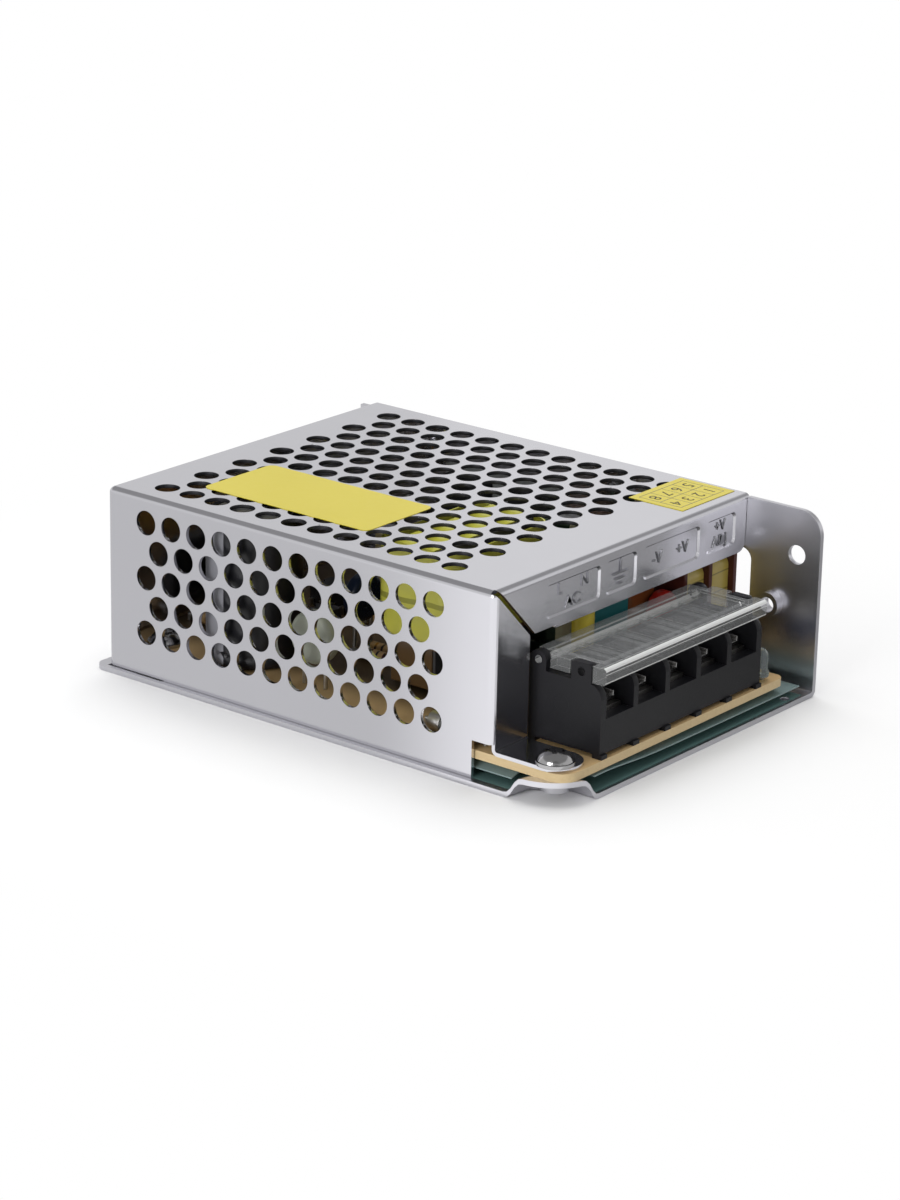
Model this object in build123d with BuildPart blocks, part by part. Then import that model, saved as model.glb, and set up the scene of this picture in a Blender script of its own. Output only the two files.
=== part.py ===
"""Switched LED power supply in a folded steel case with a perforated cover.

X runs across the case, Y along it with the terminals at -Y, and Z up from the base.
The far wall of the chassis stands at +X and the folded side of the cover at -X.
"""

import os

from build123d import *

os.makedirs("parts", exist_ok=True)

# Case
case_width = 78.0
case_length = 110.0
case_height = 36.0
base_sheet = 1.0
cover_sheet = 0.7
bend_inner = 0.5
fit_gap = 0.1
terminal_bay = 16.5
back_ledge = 2.5
side_ledge = 1.2
skirt_gap = 0.05

# Perforation
hole_diameter = 4.7
hole_pitch = 6.16
holes_per_row = 12
side_rows = 5
top_rows = 13
side_first_drop = 5.1
side_first_back = 9.75
top_first_side = 6.55
top_first_back = 9.1

# Front edge of the cover
lip_drop = 10.8
lip_step = 0.5
flange_width = 10.1
miter_gap = 1.0
notch_length = 4.4
notch_top = 8.1
foot_length = 14.6
foot_width = 9.2
plate_height = 6.3
plate_radius = 1.0
plate_depth = 0.25
plate_centre_drop = 5.55
lip_corner = 2.0
lip_step_run = 6.0
plate_spans = [(-23.3, -7.5), (-5.8, 3.4), (5.5, 23.0), (25.1, 34.5)]

# Chassis wall
ear_drop = 0.4
ear_radius = 4.5
wall_hole_diameter = 3.7
wall_hole_y = -50.0
wall_hole_z = 26.8
burr_front_y = -45.1
burr_back_y = 42.0
burr_z = 16.4
burr_bore = 1.45
burr_outer = 2.35
burr_height = 1.8
wall_slot_width = 4.5
wall_slot_front = 15.0
wall_slot_top = 25.7
wall_slot_bottom = 11.5

# Chassis base
corner_radius = 9.5
back_corner_radius = 2.0
pad_long = 13.0
pad_front = 10.4
pad_cut = 5.4
pad_ramp = 4.2
pad_steep = 0.8
pad_curve = [(0, 0), (0.2, 0.06), (0.4, 0.3), (0.6, 0.7), (0.8, 0.94), (1, 1)]
round_pad_foot = 5.4
round_pad_top = 4.0
pad_burr = 2.6
pad_burr_drop = 1.4
lance_width = 1.3
lance_length = 13.8
base_mount_spacing = 78.0
base_mount_bore = 1.25
base_mount_burr = 2.2
base_mount_rise = 0.9
vent_x = 31.7
vent_inset = 1.9
vent_diameter = 1.8

# Circuit board
board_thickness = 1.6
board_bottom = 4.4
board_side_gap = 0.35
board_front_inset = 1.3
board_back_gap = 0.6
board_far_front = 30.2
board_step = 17.5
board_corner = 1.6
board_near_corner = 3.5
film_thickness = 0.2
film_inset = 1.2

# Machine screws
screw_shank = 1.5
thread_gap = 0.05
hole_gap = 0.2
board_screw_head = 3.5
board_screw_flange = 0.7
board_screw_rim = 0.35
board_screw_dome = 1.8
dome_middle = (0.6, 0.78)
cross_length = 3.2
cross_width = 0.9
cross_depth = 1.3
board_screw_length = 5.0
near_front_screw = (-34.0, -49.4)
near_back_screw = (-32.2, 43.0)
far_back_screw = (32.0, 46.0)
far_front_screw = (32.6, -20.5)
cover_screw_head = 2.55
cover_screw_length = 3.4
cover_tab_length = 9.0
cover_tab_width = 10.0
cover_tab_front_y = -8.5
cover_tab_back_y = 38.0

# Terminal block
poles = 5
pole_pitch = 9.5
block_wall = 1.6
divider = 1.4
block_near_x = -26.4
block_front_inset = 1.8
block_depth = 15.6
block_sill = 13.15
block_shoulder = 19.4
block_shoulder_radius = 2.6
block_back_top = 18.6
block_foot = 0.8
block_foot_reach = 0.45
block_foot_width = 1.8
pivot_in = 1.8
pivot_z = 21.2
pivot_radius = 0.7
pivot_gap = 0.08
ear_round = 1.75
front_ear_depth = 4.3
front_ear_top = 22.9
lid_top = 22.8
lid_plate = 1.1
lid_recess = 0.5
lid_gap = 0.3
roll_depth = 2.8
roll_bottom = 19.7
contact_width = 7.2
contact_thickness = 0.8
contact_length = 11.0
contact_leg = 2.0
clamp_size = 7.2
clamp_thickness = 0.8
terminal_screw_in = 8.4
terminal_screw_head = 2.7
terminal_head_height = 2.3
terminal_screw_length = 4.6
slot_width = 0.9
running_gap = 0.05
well_radius = 2.0
well_depth = 4.4
contact_back_in = 2.2
clamp_edge = 0.9
clamp_rim = 0.7
front_ear_in = 4.45
pivot_notch_gap = 0.95
notch_bottom = 20.3
lid_tail = 1.2
lid_rim = 1.2
lid_barrel = 1.15
flutes = 3
flute_radius = 0.75
flute_rise = 0.8
rib_spread = 1.3
rib_width = 0.6
rib_drop = 0.7

# Components on the board
lead_diameter = 0.8
lead_clearance = 0.1
transformer_x = -7.6
transformer_y = -7.7
core_length = 28.4
core_width = 10.4
core_height = 26.0
core_bottom = 7.6
core_back = 3.6
core_leg = 5.0
bobbin_wall = 0.9
bobbin_depth = 17.2
bobbin_length = 18.0
rail_width = 3.2
rail_bottom = 6.4
rail_top = 15.6
winding_inset = 0.5
band_thickness = 0.3
pin_pitch = 5.0
jacket_bottom = 15.2
jacket_corner = 3.2
bulk_x = -26.6
bulk_y = 26.0
bulk_diameter = 18.0
bulk_height = 28.0
output_diameter = 10.0
output_height = 22.0
output_points = [(13.6, -12.6), (13.6, -1.4), (24.6, -7.0)]
small_diameter = 6.3
small_height = 11.5
small_points = [(21.5, 25.5), (21.5, 33.0)]
can_groove = 2.4
can_groove_depth = 0.6
can_standoff = 0.4
film_box_x = 0.2
film_box_y = -33.0
film_box_width = 10.3
film_box_depth = 5.6
film_box_height = 20.5
film_box_foot = 0.9
brown_box_x = 13.0
brown_box_y = -31.0
brown_box_width = 9.0
brown_box_depth = 4.6
brown_box_height = 19.0
box_lead_inset = 1.5
upright_x = -7.8
upright_y = -35.2
upright_radius = 2.05
upright_height = 20.0
upright_spread = 1.3
disc_data = {
    "surge_disc": (16.4, -35.2, 3.6, 3.0, 0, 12.4),
    "inrush_disc": (-31.0, 7.5, 5.0, 3.4, 90, 9.4),
    "safety_capacitor": (-8.0, 15.5, 4.6, 3.0, 0, 9.4),
}
choke_left = 20.5
choke_y = -31.0
choke_z = 16.2
choke_pitch = 8.0
choke_sections = 2
choke_flange = 1.1
choke_depth = 12.4
choke_height = 18.8
choke_wall = 1.2
choke_rod = 2.6
choke_tube = 3.6
choke_corner = 2.4
choke_pin_y = 4.0
toroid_x = 18.5
toroid_y = 12.5
toroid_outer = 8.4
toroid_inner = 3.0
toroid_height = 7.0
toroid_wire = 1.1
toroid_turns = 18
toroid_lead_spread = 3.0
toroid_lead = 3.0
bridge_x = -8.0
bridge_y = 45.0
bridge_width = 14.5
bridge_depth = 3.6
bridge_height = 11.0
bridge_corner = 3.0
bridge_pitch = 3.6
bridge_rise = 1.2
package_width = 10.2
package_height = 15.6
package_depth = 4.5
package_bottom = 11.0
package_recess = 1.8
package_spread = 16.0
silicone_pad = 0.3
silicone_margin = 1.4
bar_depth = 1.6
bar_width = 7.0
clamp_screw_y = 18.0
clamp_screw_z = 16.8
clamp_screw_length = 7.2
clamp_burr_height = 1.2
clamp_head = 2.8
clamp_head_height = 2.0
chip_length = 9.6
chip_width = 6.4
chip_height = 3.4
chip_row = 7.62
chip_lift = 0.5
chip_shoulder = 1.6
chip_pin = 0.3
chip_notch = 0.8
pin_grid = 2.54
chip_x = 6.0
chip_y = 33.0
coupler_length = 4.8
coupler_x = -6.5
coupler_y = 27.0
fuse_x = -33.9
fuse_y = -27.5
fuse_length = 10.4
fuse_radius = 1.8
fuse_cap = 2.6
fuse_reach = 1.4
fuse_wall = 0.5
cap_sheet = 0.15
cap_end = 0.4
resistor_radius = 1.15
resistor_length = 6.4
resistor_reach = 1.5
resistor_points = [(-14.0, 8.0), (-10.5, 8.0), (1.5, 18.0), (4.7, 18.0), (-19.5, 44.0)]
trimmer_x = 26.9
trimmer_y = -45.4
trimmer_size = 6.4
trimmer_height = 5.0
trimmer_lead_spread = 2.2
trimmer_cut = 1.0
rotor_radius = 2.2
rotor_rise = 0.8
rotor_slot = 0.7
rotor_depth = 1.4
rotor_slot_depth = 0.8
led_x = 25.3
led_y = -51.4
led_radius = 1.5
led_collar = 1.8
led_height = 5.4
led_rise = 1.0
led_collar_height = 1.0
led_lead_spread = 0.9

# Labels
label_thickness = 0.1
label_corner = 1.5
plain_label_x = -17.0
plain_label_y = 19.2
plain_label_width = 19.2
plain_label_length = 39.4
number_label_x = 29.8
number_label_y = -29.4
number_label_width = 16.6
number_label_length = 12.2

base_top = base_sheet
half_width = case_width / 2
half_length = case_length / 2
wall_inner = half_width - base_sheet
cover_near = -half_width + side_ledge
cover_front = -half_length + terminal_bay
cover_back = half_length - back_ledge
cover_inner_top = case_height - cover_sheet
cover_bend = bend_inner + cover_sheet
base_bend = bend_inner + base_sheet
skirt_bottom = base_sheet + skirt_gap
board_top = board_bottom + board_thickness
board_near = cover_near + cover_sheet + board_side_gap
board_far = wall_inner - 3 * board_side_gap
board_front = -half_length + board_front_inset
board_back = cover_back - cover_sheet - board_back_gap
pad_height = board_bottom
tapped = screw_shank + thread_gap
clear = screw_shank + hole_gap
row_pitch = hole_pitch * 3**0.5 / 2
block_front = -half_length + block_front_inset
block_back = block_front + block_depth
block_length = poles * pole_pitch + block_wall
block_far_x = block_near_x + block_length
pivot_y = block_back - pivot_in
first_pole_x = block_near_x + (block_wall + pole_pitch) / 2
pole_xs = [first_pole_x + n * pole_pitch for n in range(poles)]
terminal_screw_y = block_back - terminal_screw_in
ear_top = case_height - ear_drop
film_half_length = half_length - film_inset
front_ear_y = block_front + front_ear_in
contact_back = block_back - contact_back_in
round_pads = [near_back_screw, far_back_screw, far_front_screw]
lead_radius = lead_diameter / 2


def round_post(centre, radius, height, mode=Mode.ADD):
    """Upright cylinder that stands on a point."""
    with Locations(centre):
        Cylinder(radius, height, align=(Align.CENTER, Align.CENTER, Align.MIN), mode=mode)


def block(low, high, mode=Mode.ADD):
    """Box between two opposite corners."""
    size = [b - a for a, b in zip(low, high)]
    with Locations(low):
        Box(*size, align=(Align.MIN, Align.MIN, Align.MIN), mode=mode)


# Chassis: base plate and far wall folded from one sheet
wall_slot_front_y = -half_length + wall_slot_front
with BuildPart() as chassis:
    with BuildSketch(Plane.XZ) as fold:
        Rectangle(case_width, base_sheet, align=(Align.CENTER, Align.MIN))
        with Locations((half_width, 0)):
            Rectangle(base_sheet, ear_top, align=(Align.MAX, Align.MIN))
        fillet(fold.vertices().sort_by_distance((half_width, 0))[0], base_bend)
        fillet(fold.vertices().sort_by_distance((wall_inner, base_top))[0], bend_inner)
    extrude(amount=half_length, both=True)
    # Pads pressed up under the screws of the board
    for x, y in round_pads:
        with Locations((x, y, base_top)):
            Cone(
                round_pad_foot, round_pad_top, pad_height - base_top,
                align=(Align.CENTER, Align.CENTER, Align.MIN),
            )
        with Locations((x, y, 0)):
            Cone(
                round_pad_foot, round_pad_top, pad_height - base_sheet,
                align=(Align.CENTER, Align.CENTER, Align.MIN), mode=Mode.SUBTRACT,
            )
    # The near front corner is pressed up to the open edge of the sheet, with soft bends
    for level, mode in ((base_top, Mode.ADD), (0, Mode.SUBTRACT)):
        for run, rise in pad_curve:
            inset = pad_ramp * run
            side = pad_steep * run
            with BuildSketch(Plane.XY.offset(level + (pad_height - base_sheet) * rise)):
                with BuildLine():
                    Polyline(
                        (-half_width, -half_length),
                        (-half_width + pad_front - inset, -half_length),
                        (-half_width + pad_front - inset, -half_length + pad_cut - side),
                        (-half_width + pad_cut - side, -half_length + pad_long - pad_steep - inset),
                        (-half_width, -half_length + pad_long - inset),
                        close=True,
                    )
                make_face()
        loft(ruled=True, mode=mode)
    with BuildSketch(Plane.XY):
        with Locations((-half_width, -half_length)):
            Rectangle(corner_radius, corner_radius, align=(Align.MIN, Align.MIN))
        with Locations((-half_width + corner_radius, -half_length + corner_radius)):
            Circle(corner_radius, mode=Mode.SUBTRACT)
    extrude(amount=case_height, mode=Mode.SUBTRACT)
    # Burrs that take the screws of the board
    for x, y in round_pads + [near_front_screw]:
        burr_bottom = pad_height - base_sheet - pad_burr_drop
        round_post((x, y, burr_bottom), pad_burr, pad_burr_drop + base_sheet / 2)
        round_post((x, y, 0), tapped, pad_height, Mode.SUBTRACT)
    # Slot that frees the near back pad from the edge
    lance_y = half_length - back_ledge - lance_length
    block(
        (cover_near - lance_width / 4, lance_y, 0),
        (cover_near - lance_width / 4 + lance_width, lance_y + lance_length, pad_height),
        Mode.SUBTRACT,
    )
    # Threaded mounting holes and the small hole by the front edge
    for y in (-base_mount_spacing / 2, base_mount_spacing / 2):
        round_post((0, y, 0), base_mount_burr, base_top + base_mount_rise)
        round_post((0, y, 0), base_mount_bore, base_top + base_mount_rise, Mode.SUBTRACT)
    round_post((vent_x, -half_length + vent_inset, 0), vent_diameter / 2, base_top, Mode.SUBTRACT)
    # Wall: lower under the cover, with an ear beside the terminals
    block(
        (wall_inner - fit_gap, cover_front - fit_gap, cover_inner_top - fit_gap),
        (half_width + fit_gap, half_length, case_height),
        Mode.SUBTRACT,
    )
    with BuildSketch(Plane.YZ.offset(wall_inner)):
        with Locations((-half_length, ear_top)):
            Rectangle(ear_radius, ear_radius, align=(Align.MIN, Align.MAX))
        with Locations((-half_length + ear_radius, ear_top - ear_radius)):
            Circle(ear_radius, mode=Mode.SUBTRACT)
        with Locations((wall_hole_y, wall_hole_z)):
            Circle(wall_hole_diameter / 2)
        with Locations(
            (wall_slot_front_y + wall_slot_width / 2, (wall_slot_top + wall_slot_bottom) / 2)
        ):
            SlotOverall(wall_slot_top - wall_slot_bottom, wall_slot_width, rotation=90)
    extrude(amount=base_sheet, mode=Mode.SUBTRACT)
    wall_burrs = [
        (burr_front_y, burr_z, burr_outer, burr_bore, burr_height),
        (burr_back_y, burr_z, burr_outer, burr_bore, burr_height),
        (clamp_screw_y, clamp_screw_z, pad_burr, tapped, clamp_burr_height),
    ]
    for y, z, outer, bore, height in wall_burrs:
        with BuildSketch(Plane.YZ.offset(wall_inner - height)):
            with Locations((y, z)):
                Circle(outer)
        extrude(amount=height)
        with BuildSketch(Plane.YZ.offset(wall_inner - height)):
            with Locations((y, z)):
                Circle(bore)
        extrude(amount=height + base_sheet, mode=Mode.SUBTRACT)
    # Countersunk holes for the screws of the cover
    cover_screw_z = cover_inner_top - cover_tab_length / 2
    for y in (cover_tab_front_y, cover_tab_back_y):
        with Locations(Location((half_width, y, cover_screw_z), (0, 90, 0))):
            CounterSinkHole(clear, cover_screw_head + fit_gap, depth=base_sheet)
    back_edges = chassis.edges().filter_by(Axis.Z).sort_by_distance((-half_width, half_length, 0))
    fillet(back_edges[0], back_corner_radius)
chassis.part.label = "chassis"
export_step(chassis.part, "parts/chassis.step")

# Cover: top, near side, front lip, flange with its foot, and back, from one perforated sheet
lip_bottom = case_height - lip_drop
flange_end = cover_near + flange_width
corner_z = lip_bottom + lip_step
gap_run = miter_gap * 2**0.5
miter_run = case_height - corner_z + cover_bend
tab_bottom = cover_inner_top - cover_tab_length
tab_thread = cover_sheet + 0.7
with BuildPart() as cover:
    block((cover_near, cover_front, skirt_bottom), (half_width + cover_bend, cover_back, case_height))
    folds = cover.edges().filter_by(Axis.Z).group_by(Axis.X)[0]
    folds += cover.edges().group_by(Axis.Z)[-1].filter_by_position(Axis.X, cover_near, half_width)
    fillet(folds, cover_bend)
    block(
        (cover_near + cover_sheet, cover_front + cover_sheet, skirt_bottom),
        (half_width + cover_bend, cover_back - cover_sheet, cover_inner_top),
        Mode.SUBTRACT,
    )
    block(
        (half_width, cover_front, skirt_bottom),
        (half_width + cover_bend, cover_back, case_height),
        Mode.SUBTRACT,
    )
    block(
        (wall_inner - fit_gap, cover_front, skirt_bottom),
        (half_width, cover_back, cover_inner_top),
        Mode.SUBTRACT,
    )
    # The front is open between the lip and the flange, and a mitre gap parts the two
    with BuildSketch(Plane.XZ.offset(-cover_front)):
        with BuildLine():
            Polyline(
                (flange_end, skirt_bottom),
                (flange_end, corner_z),
                (flange_end - miter_run, corner_z + miter_run),
                (flange_end - miter_run + gap_run, corner_z + miter_run),
                (flange_end + gap_run, corner_z),
                (flange_end + gap_run + lip_step_run, corner_z),
                (flange_end + gap_run + lip_step_run, lip_bottom),
                (half_width, lip_bottom),
                (half_width, skirt_bottom),
                close=True,
            )
        make_face()
    extrude(amount=-cover_sheet - bend_inner, mode=Mode.SUBTRACT)
    with BuildSketch(Plane.XZ.offset(-cover_front)):
        with Locations((wall_inner - fit_gap, lip_bottom)):
            Rectangle(lip_corner, lip_corner, align=(Align.MAX, Align.MIN))
        with Locations((wall_inner - fit_gap - lip_corner, lip_bottom + lip_corner)):
            Circle(lip_corner, mode=Mode.SUBTRACT)
    extrude(amount=-cover_sheet, mode=Mode.SUBTRACT)
    # Notch below the near corner, and the foot that the first board screw holds
    block(
        (cover_near, cover_front, skirt_bottom),
        (cover_near + flange_width, cover_front + notch_length, notch_top),
        Mode.SUBTRACT,
    )
    with BuildSketch(Plane.YZ.offset(flange_end - foot_width)) as foot_fold:
        with BuildLine():
            Polyline(
                (cover_front - foot_length, board_top),
                (cover_front + cover_sheet, board_top),
                (cover_front + cover_sheet, notch_top),
                (cover_front, notch_top),
                (cover_front, board_top + cover_sheet),
                (cover_front - foot_length, board_top + cover_sheet),
                close=True,
            )
        make_face()
        fillet(
            foot_fold.vertices().sort_by_distance((cover_front + cover_sheet, board_top))[0],
            cover_bend,
        )
        fillet(
            foot_fold.vertices().sort_by_distance((cover_front, board_top + cover_sheet))[0],
            bend_inner,
        )
    extrude(amount=foot_width)
    foot_tip = cover.edges().filter_by(Axis.Z).sort_by(Axis.Y)[0:2]
    fillet(foot_tip, foot_width / 2 - fit_gap)
    round_post((*near_front_screw, board_top), clear, cover_sheet, Mode.SUBTRACT)
    # Tabs inside the wall, threaded for the countersunk screws
    for y in (cover_tab_front_y, cover_tab_back_y):
        block(
            (wall_inner - fit_gap - cover_sheet, y - cover_tab_width / 2, tab_bottom),
            (wall_inner - fit_gap, y + cover_tab_width / 2, cover_inner_top + cover_sheet / 2),
        )
        with BuildSketch(Plane.YZ.offset(wall_inner - fit_gap - tab_thread)):
            with Locations((y, cover_screw_z)):
                Circle(pad_burr)
        extrude(amount=tab_thread)
        with BuildSketch(Plane.YZ.offset(wall_inner - fit_gap - tab_thread)):
            with Locations((y, cover_screw_z)):
                Circle(tapped)
        extrude(amount=tab_thread, mode=Mode.SUBTRACT)
    # Perforation: staggered rows of punched holes in the side and the top
    for row in range(side_rows):
        short = row % 2
        z = case_height - side_first_drop - row * row_pitch
        y = cover_back - side_first_back - (holes_per_row - 1) * hole_pitch / 2
        with BuildSketch(Plane.YZ.offset(cover_near)):
            with Locations((y, z)):
                with GridLocations(hole_pitch, 1, holes_per_row - short, 1):
                    Circle(hole_diameter / 2)
        extrude(amount=cover_sheet, mode=Mode.SUBTRACT)
    for row in range(top_rows):
        short = row % 2
        x = cover_near + top_first_side + row * row_pitch
        y = cover_back - top_first_back - (holes_per_row - 1) * hole_pitch / 2
        with BuildSketch(Plane.XY.offset(case_height)):
            with Locations((x, y)):
                with GridLocations(1, hole_pitch, 1, holes_per_row - short):
                    Circle(hole_diameter / 2)
        extrude(amount=-cover_sheet, mode=Mode.SUBTRACT)
    # Plates pressed into the lip beside the terminals
    with BuildSketch(Plane.XZ.offset(-cover_front)):
        for low, high in plate_spans:
            with Locations(((low + high) / 2, case_height - plate_centre_drop)):
                RectangleRounded(high - low, plate_height, plate_radius)
    extrude(amount=-plate_depth, mode=Mode.SUBTRACT)
cover.part.label = "cover"
export_step(cover.part, "parts/cover.step")

# Screws of the cover, countersunk in the wall
with BuildPart() as cover_screws:
    for y in (cover_tab_front_y, cover_tab_back_y):
        with BuildSketch(Plane.XZ.offset(-y)):
            with BuildLine():
                Polyline(
                    (half_width - cover_screw_length, cover_screw_z),
                    (half_width - cover_screw_length, cover_screw_z + screw_shank),
                    (half_width - cover_screw_head + screw_shank, cover_screw_z + screw_shank),
                    (half_width, cover_screw_z + cover_screw_head),
                    (half_width, cover_screw_z),
                    close=True,
                )
            make_face()
        revolve(axis=Axis((0, y, cover_screw_z), (1, 0, 0)))
        with BuildSketch(Plane.YZ.offset(half_width)):
            with Locations((y, cover_screw_z)):
                Rectangle(cross_length, cross_width)
                Rectangle(cross_width, cross_length)
        extrude(amount=-cross_width, mode=Mode.SUBTRACT)
cover_screws.part.label = "cover_screws"
export_step(cover_screws.part, "parts/cover_screws.step")

# Board screws: pan heads with a pressed washer, each in the burr of its pad
with BuildPart() as board_screws:
    for x, y, seat in [(*near_front_screw, board_top + cover_sheet)] + [
        (x, y, board_top) for x, y in round_pads
    ]:
        with BuildSketch(Plane.XZ.offset(-y)):
            with BuildLine():
                Polyline(
                    (x, seat - board_screw_length),
                    (x + screw_shank, seat - board_screw_length),
                    (x + screw_shank, seat),
                    (x + board_screw_head, seat),
                    (x + board_screw_head, seat + board_screw_flange),
                    (x + board_screw_head - board_screw_rim, seat + board_screw_flange),
                )
                ThreePointArc(
                    (x + board_screw_head - board_screw_rim, seat + board_screw_flange),
                    (
                        x + board_screw_head * dome_middle[0],
                        seat + board_screw_flange + board_screw_dome * dome_middle[1],
                    ),
                    (x, seat + board_screw_flange + board_screw_dome),
                )
                Line(
                    (x, seat + board_screw_flange + board_screw_dome),
                    (x, seat - board_screw_length),
                )
            make_face()
        revolve(axis=Axis((x, y, 0), (0, 0, 1)))
        with BuildSketch(Plane.XY.offset(seat + board_screw_flange + board_screw_dome)):
            with Locations((x, y)):
                Rectangle(cross_length, cross_width, rotation=30)
                Rectangle(cross_width, cross_length, rotation=30)
        extrude(amount=-cross_depth, mode=Mode.SUBTRACT)
board_screws.part.label = "board_screws"
export_step(board_screws.part, "parts/board_screws.step")

# Insulation film between the base and the board, higher at the near side
with BuildPart() as insulation_film:
    with BuildSketch(Plane.XZ):
        with BuildLine():
            upper = Spline(
                (board_near + 0.5, 2.6),
                (board_near + 9.0, 3.85),
                (board_near + 22.0, 3.25),
                (board_near + 37.0, 2.95),
                (board_near + 53.0, 2.85),
                (board_near + 72.0, 2.8),
            )
            lower = Spline(
                *[(p.X, p.Y - film_thickness) for p in [upper @ (n / 10) for n in range(11)]]
            )
            Line(upper @ 0, lower @ 0)
            Line(upper @ 1, lower @ 1)
        make_face()
    extrude(amount=film_half_length, both=True)
    block((-half_width, board_back, 0), (half_width, half_length, board_bottom), Mode.SUBTRACT)
    for x, y in round_pads:
        round_post((x, y, 0), round_pad_foot + hole_gap, board_bottom, Mode.SUBTRACT)
    block((*far_back_screw, 0), (half_width, half_length, board_bottom), Mode.SUBTRACT)
    block(
        (-half_width, -half_length, 0),
        (-half_width + pad_front + hole_gap, -half_length + pad_long + hole_gap, board_bottom),
        Mode.SUBTRACT,
    )
insulation_film.part.label = "insulation_film"
export_step(insulation_film.part, "parts/insulation_film.step")

# Labels that lie on the cover
with BuildPart() as plain_label:
    with BuildSketch(Plane.XY.offset(case_height)):
        with Locations((plain_label_x, plain_label_y)):
            RectangleRounded(plain_label_width, plain_label_length, label_corner)
    extrude(amount=label_thickness)
plain_label.part.label = "plain_label"
export_step(plain_label.part, "parts/plain_label.step")

with BuildPart() as number_label:
    with BuildSketch(Plane.XY.offset(case_height)):
        with Locations((number_label_x, number_label_y)):
            Rectangle(number_label_width, number_label_length)
    extrude(amount=label_thickness)
number_label.part.label = "number_label"
export_step(number_label.part, "parts/number_label.step")

# Terminal block: moulded housing with five open cells and ears for the lid
with BuildPart() as terminal_housing:
    block(
        (block_near_x, block_front, board_top + block_foot),
        (block_far_x, block_back, block_sill),
    )
    for n in range(poles + 1):
        wall = block_wall if n in (0, poles) else divider
        middle = block_near_x + block_wall / 2 + n * pole_pitch
        foot_low = max(middle - block_foot_width / 2, block_near_x)
        foot_high = min(middle + block_foot_width / 2, block_far_x)
        block(
            (foot_low, block_front - block_foot_reach, board_top),
            (foot_high, block_front + block_wall, board_top + block_foot),
        )
        block(
            (foot_low, block_back - block_wall, board_top),
            (foot_high, block_back, board_top + block_foot),
        )
        with BuildSketch(Plane.YZ.offset(middle - wall / 2)) as barrier:
            with BuildLine():
                Polyline(
                    (block_front, block_sill),
                    (block_front, block_shoulder),
                    (pivot_y - ear_round, block_shoulder),
                    (pivot_y - ear_round, block_back_top),
                    (block_back, block_back_top),
                    (block_back, block_sill),
                    close=True,
                )
            make_face()
            fillet(
                barrier.vertices().sort_by_distance((block_front, block_shoulder))[0],
                block_shoulder_radius,
            )
        extrude(amount=wall)
    block(
        (block_near_x, block_back - block_wall, block_sill),
        (block_far_x, block_back, block_back_top),
    )
    # Ears at both ends: round ones on the pivots and square ones in front
    for low in (block_near_x, block_far_x - block_wall):
        with BuildSketch(Plane.YZ.offset(low)):
            with Locations((pivot_y, pivot_z)):
                Circle(ear_round)
            with Locations((pivot_y, block_back_top)):
                Rectangle(2 * ear_round, pivot_z - block_back_top, align=(Align.CENTER, Align.MIN))
            with Locations((front_ear_y, block_shoulder)):
                Rectangle(
                    front_ear_depth, front_ear_top - block_shoulder, align=(Align.CENTER, Align.MIN)
                )
        extrude(amount=block_wall)
        with BuildSketch(Plane.YZ.offset(low)):
            with Locations((pivot_y, pivot_z), (front_ear_y, pivot_z)):
                Circle(pivot_radius + pivot_gap)
        extrude(amount=block_wall, mode=Mode.SUBTRACT)
    ear_corners = terminal_housing.edges().filter_by(Axis.X).group_by(Axis.Z)[-1]
    fillet(ear_corners, pivot_radius)
    # Wells for the screws and slots for the legs of the contacts
    for x in pole_xs:
        round_post(
            (x, terminal_screw_y, block_sill - well_depth), well_radius, well_depth, Mode.SUBTRACT
        )
        block(
            (x - contact_leg / 2 - fit_gap, contact_back - contact_thickness - fit_gap, board_top),
            (x + contact_leg / 2 + fit_gap, contact_back + fit_gap, block_sill),
            Mode.SUBTRACT,
        )
terminal_housing.part.label = "terminal_housing"
export_step(terminal_housing.part, "parts/terminal_housing.step")

# Contacts: a strip under each screw with a leg down through the board
with BuildPart() as terminal_contacts:
    for x in pole_xs:
        block(
            (x - contact_width / 2, contact_back - contact_length, block_sill),
            (x + contact_width / 2, contact_back, block_sill + contact_thickness),
        )
        block(
            (x - contact_leg / 2, contact_back - contact_thickness, board_bottom),
            (x + contact_leg / 2, contact_back, block_sill),
        )
        round_post((x, terminal_screw_y, block_sill), tapped, contact_thickness, Mode.SUBTRACT)
terminal_contacts.part.label = "terminal_contacts"
export_step(terminal_contacts.part, "parts/terminal_contacts.step")

# Square clamp washers with turned up edges
clamp_bottom = block_sill + contact_thickness
clamp_top = clamp_bottom + clamp_thickness
with BuildPart() as clamp_washers:
    for x in pole_xs:
        low = (x - clamp_size / 2, terminal_screw_y - clamp_size / 2, clamp_bottom)
        high = (x + clamp_size / 2, terminal_screw_y + clamp_size / 2, clamp_top + clamp_edge)
        block(low, high)
        block(
            (low[0] + clamp_rim, low[1] - fit_gap, clamp_top),
            (high[0] - clamp_rim, high[1] + fit_gap, high[2]),
            Mode.SUBTRACT,
        )
        round_post((x, terminal_screw_y, clamp_bottom), clear, clamp_size, Mode.SUBTRACT)
clamp_washers.part.label = "clamp_washers"
export_step(clamp_washers.part, "parts/clamp_washers.step")

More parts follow.
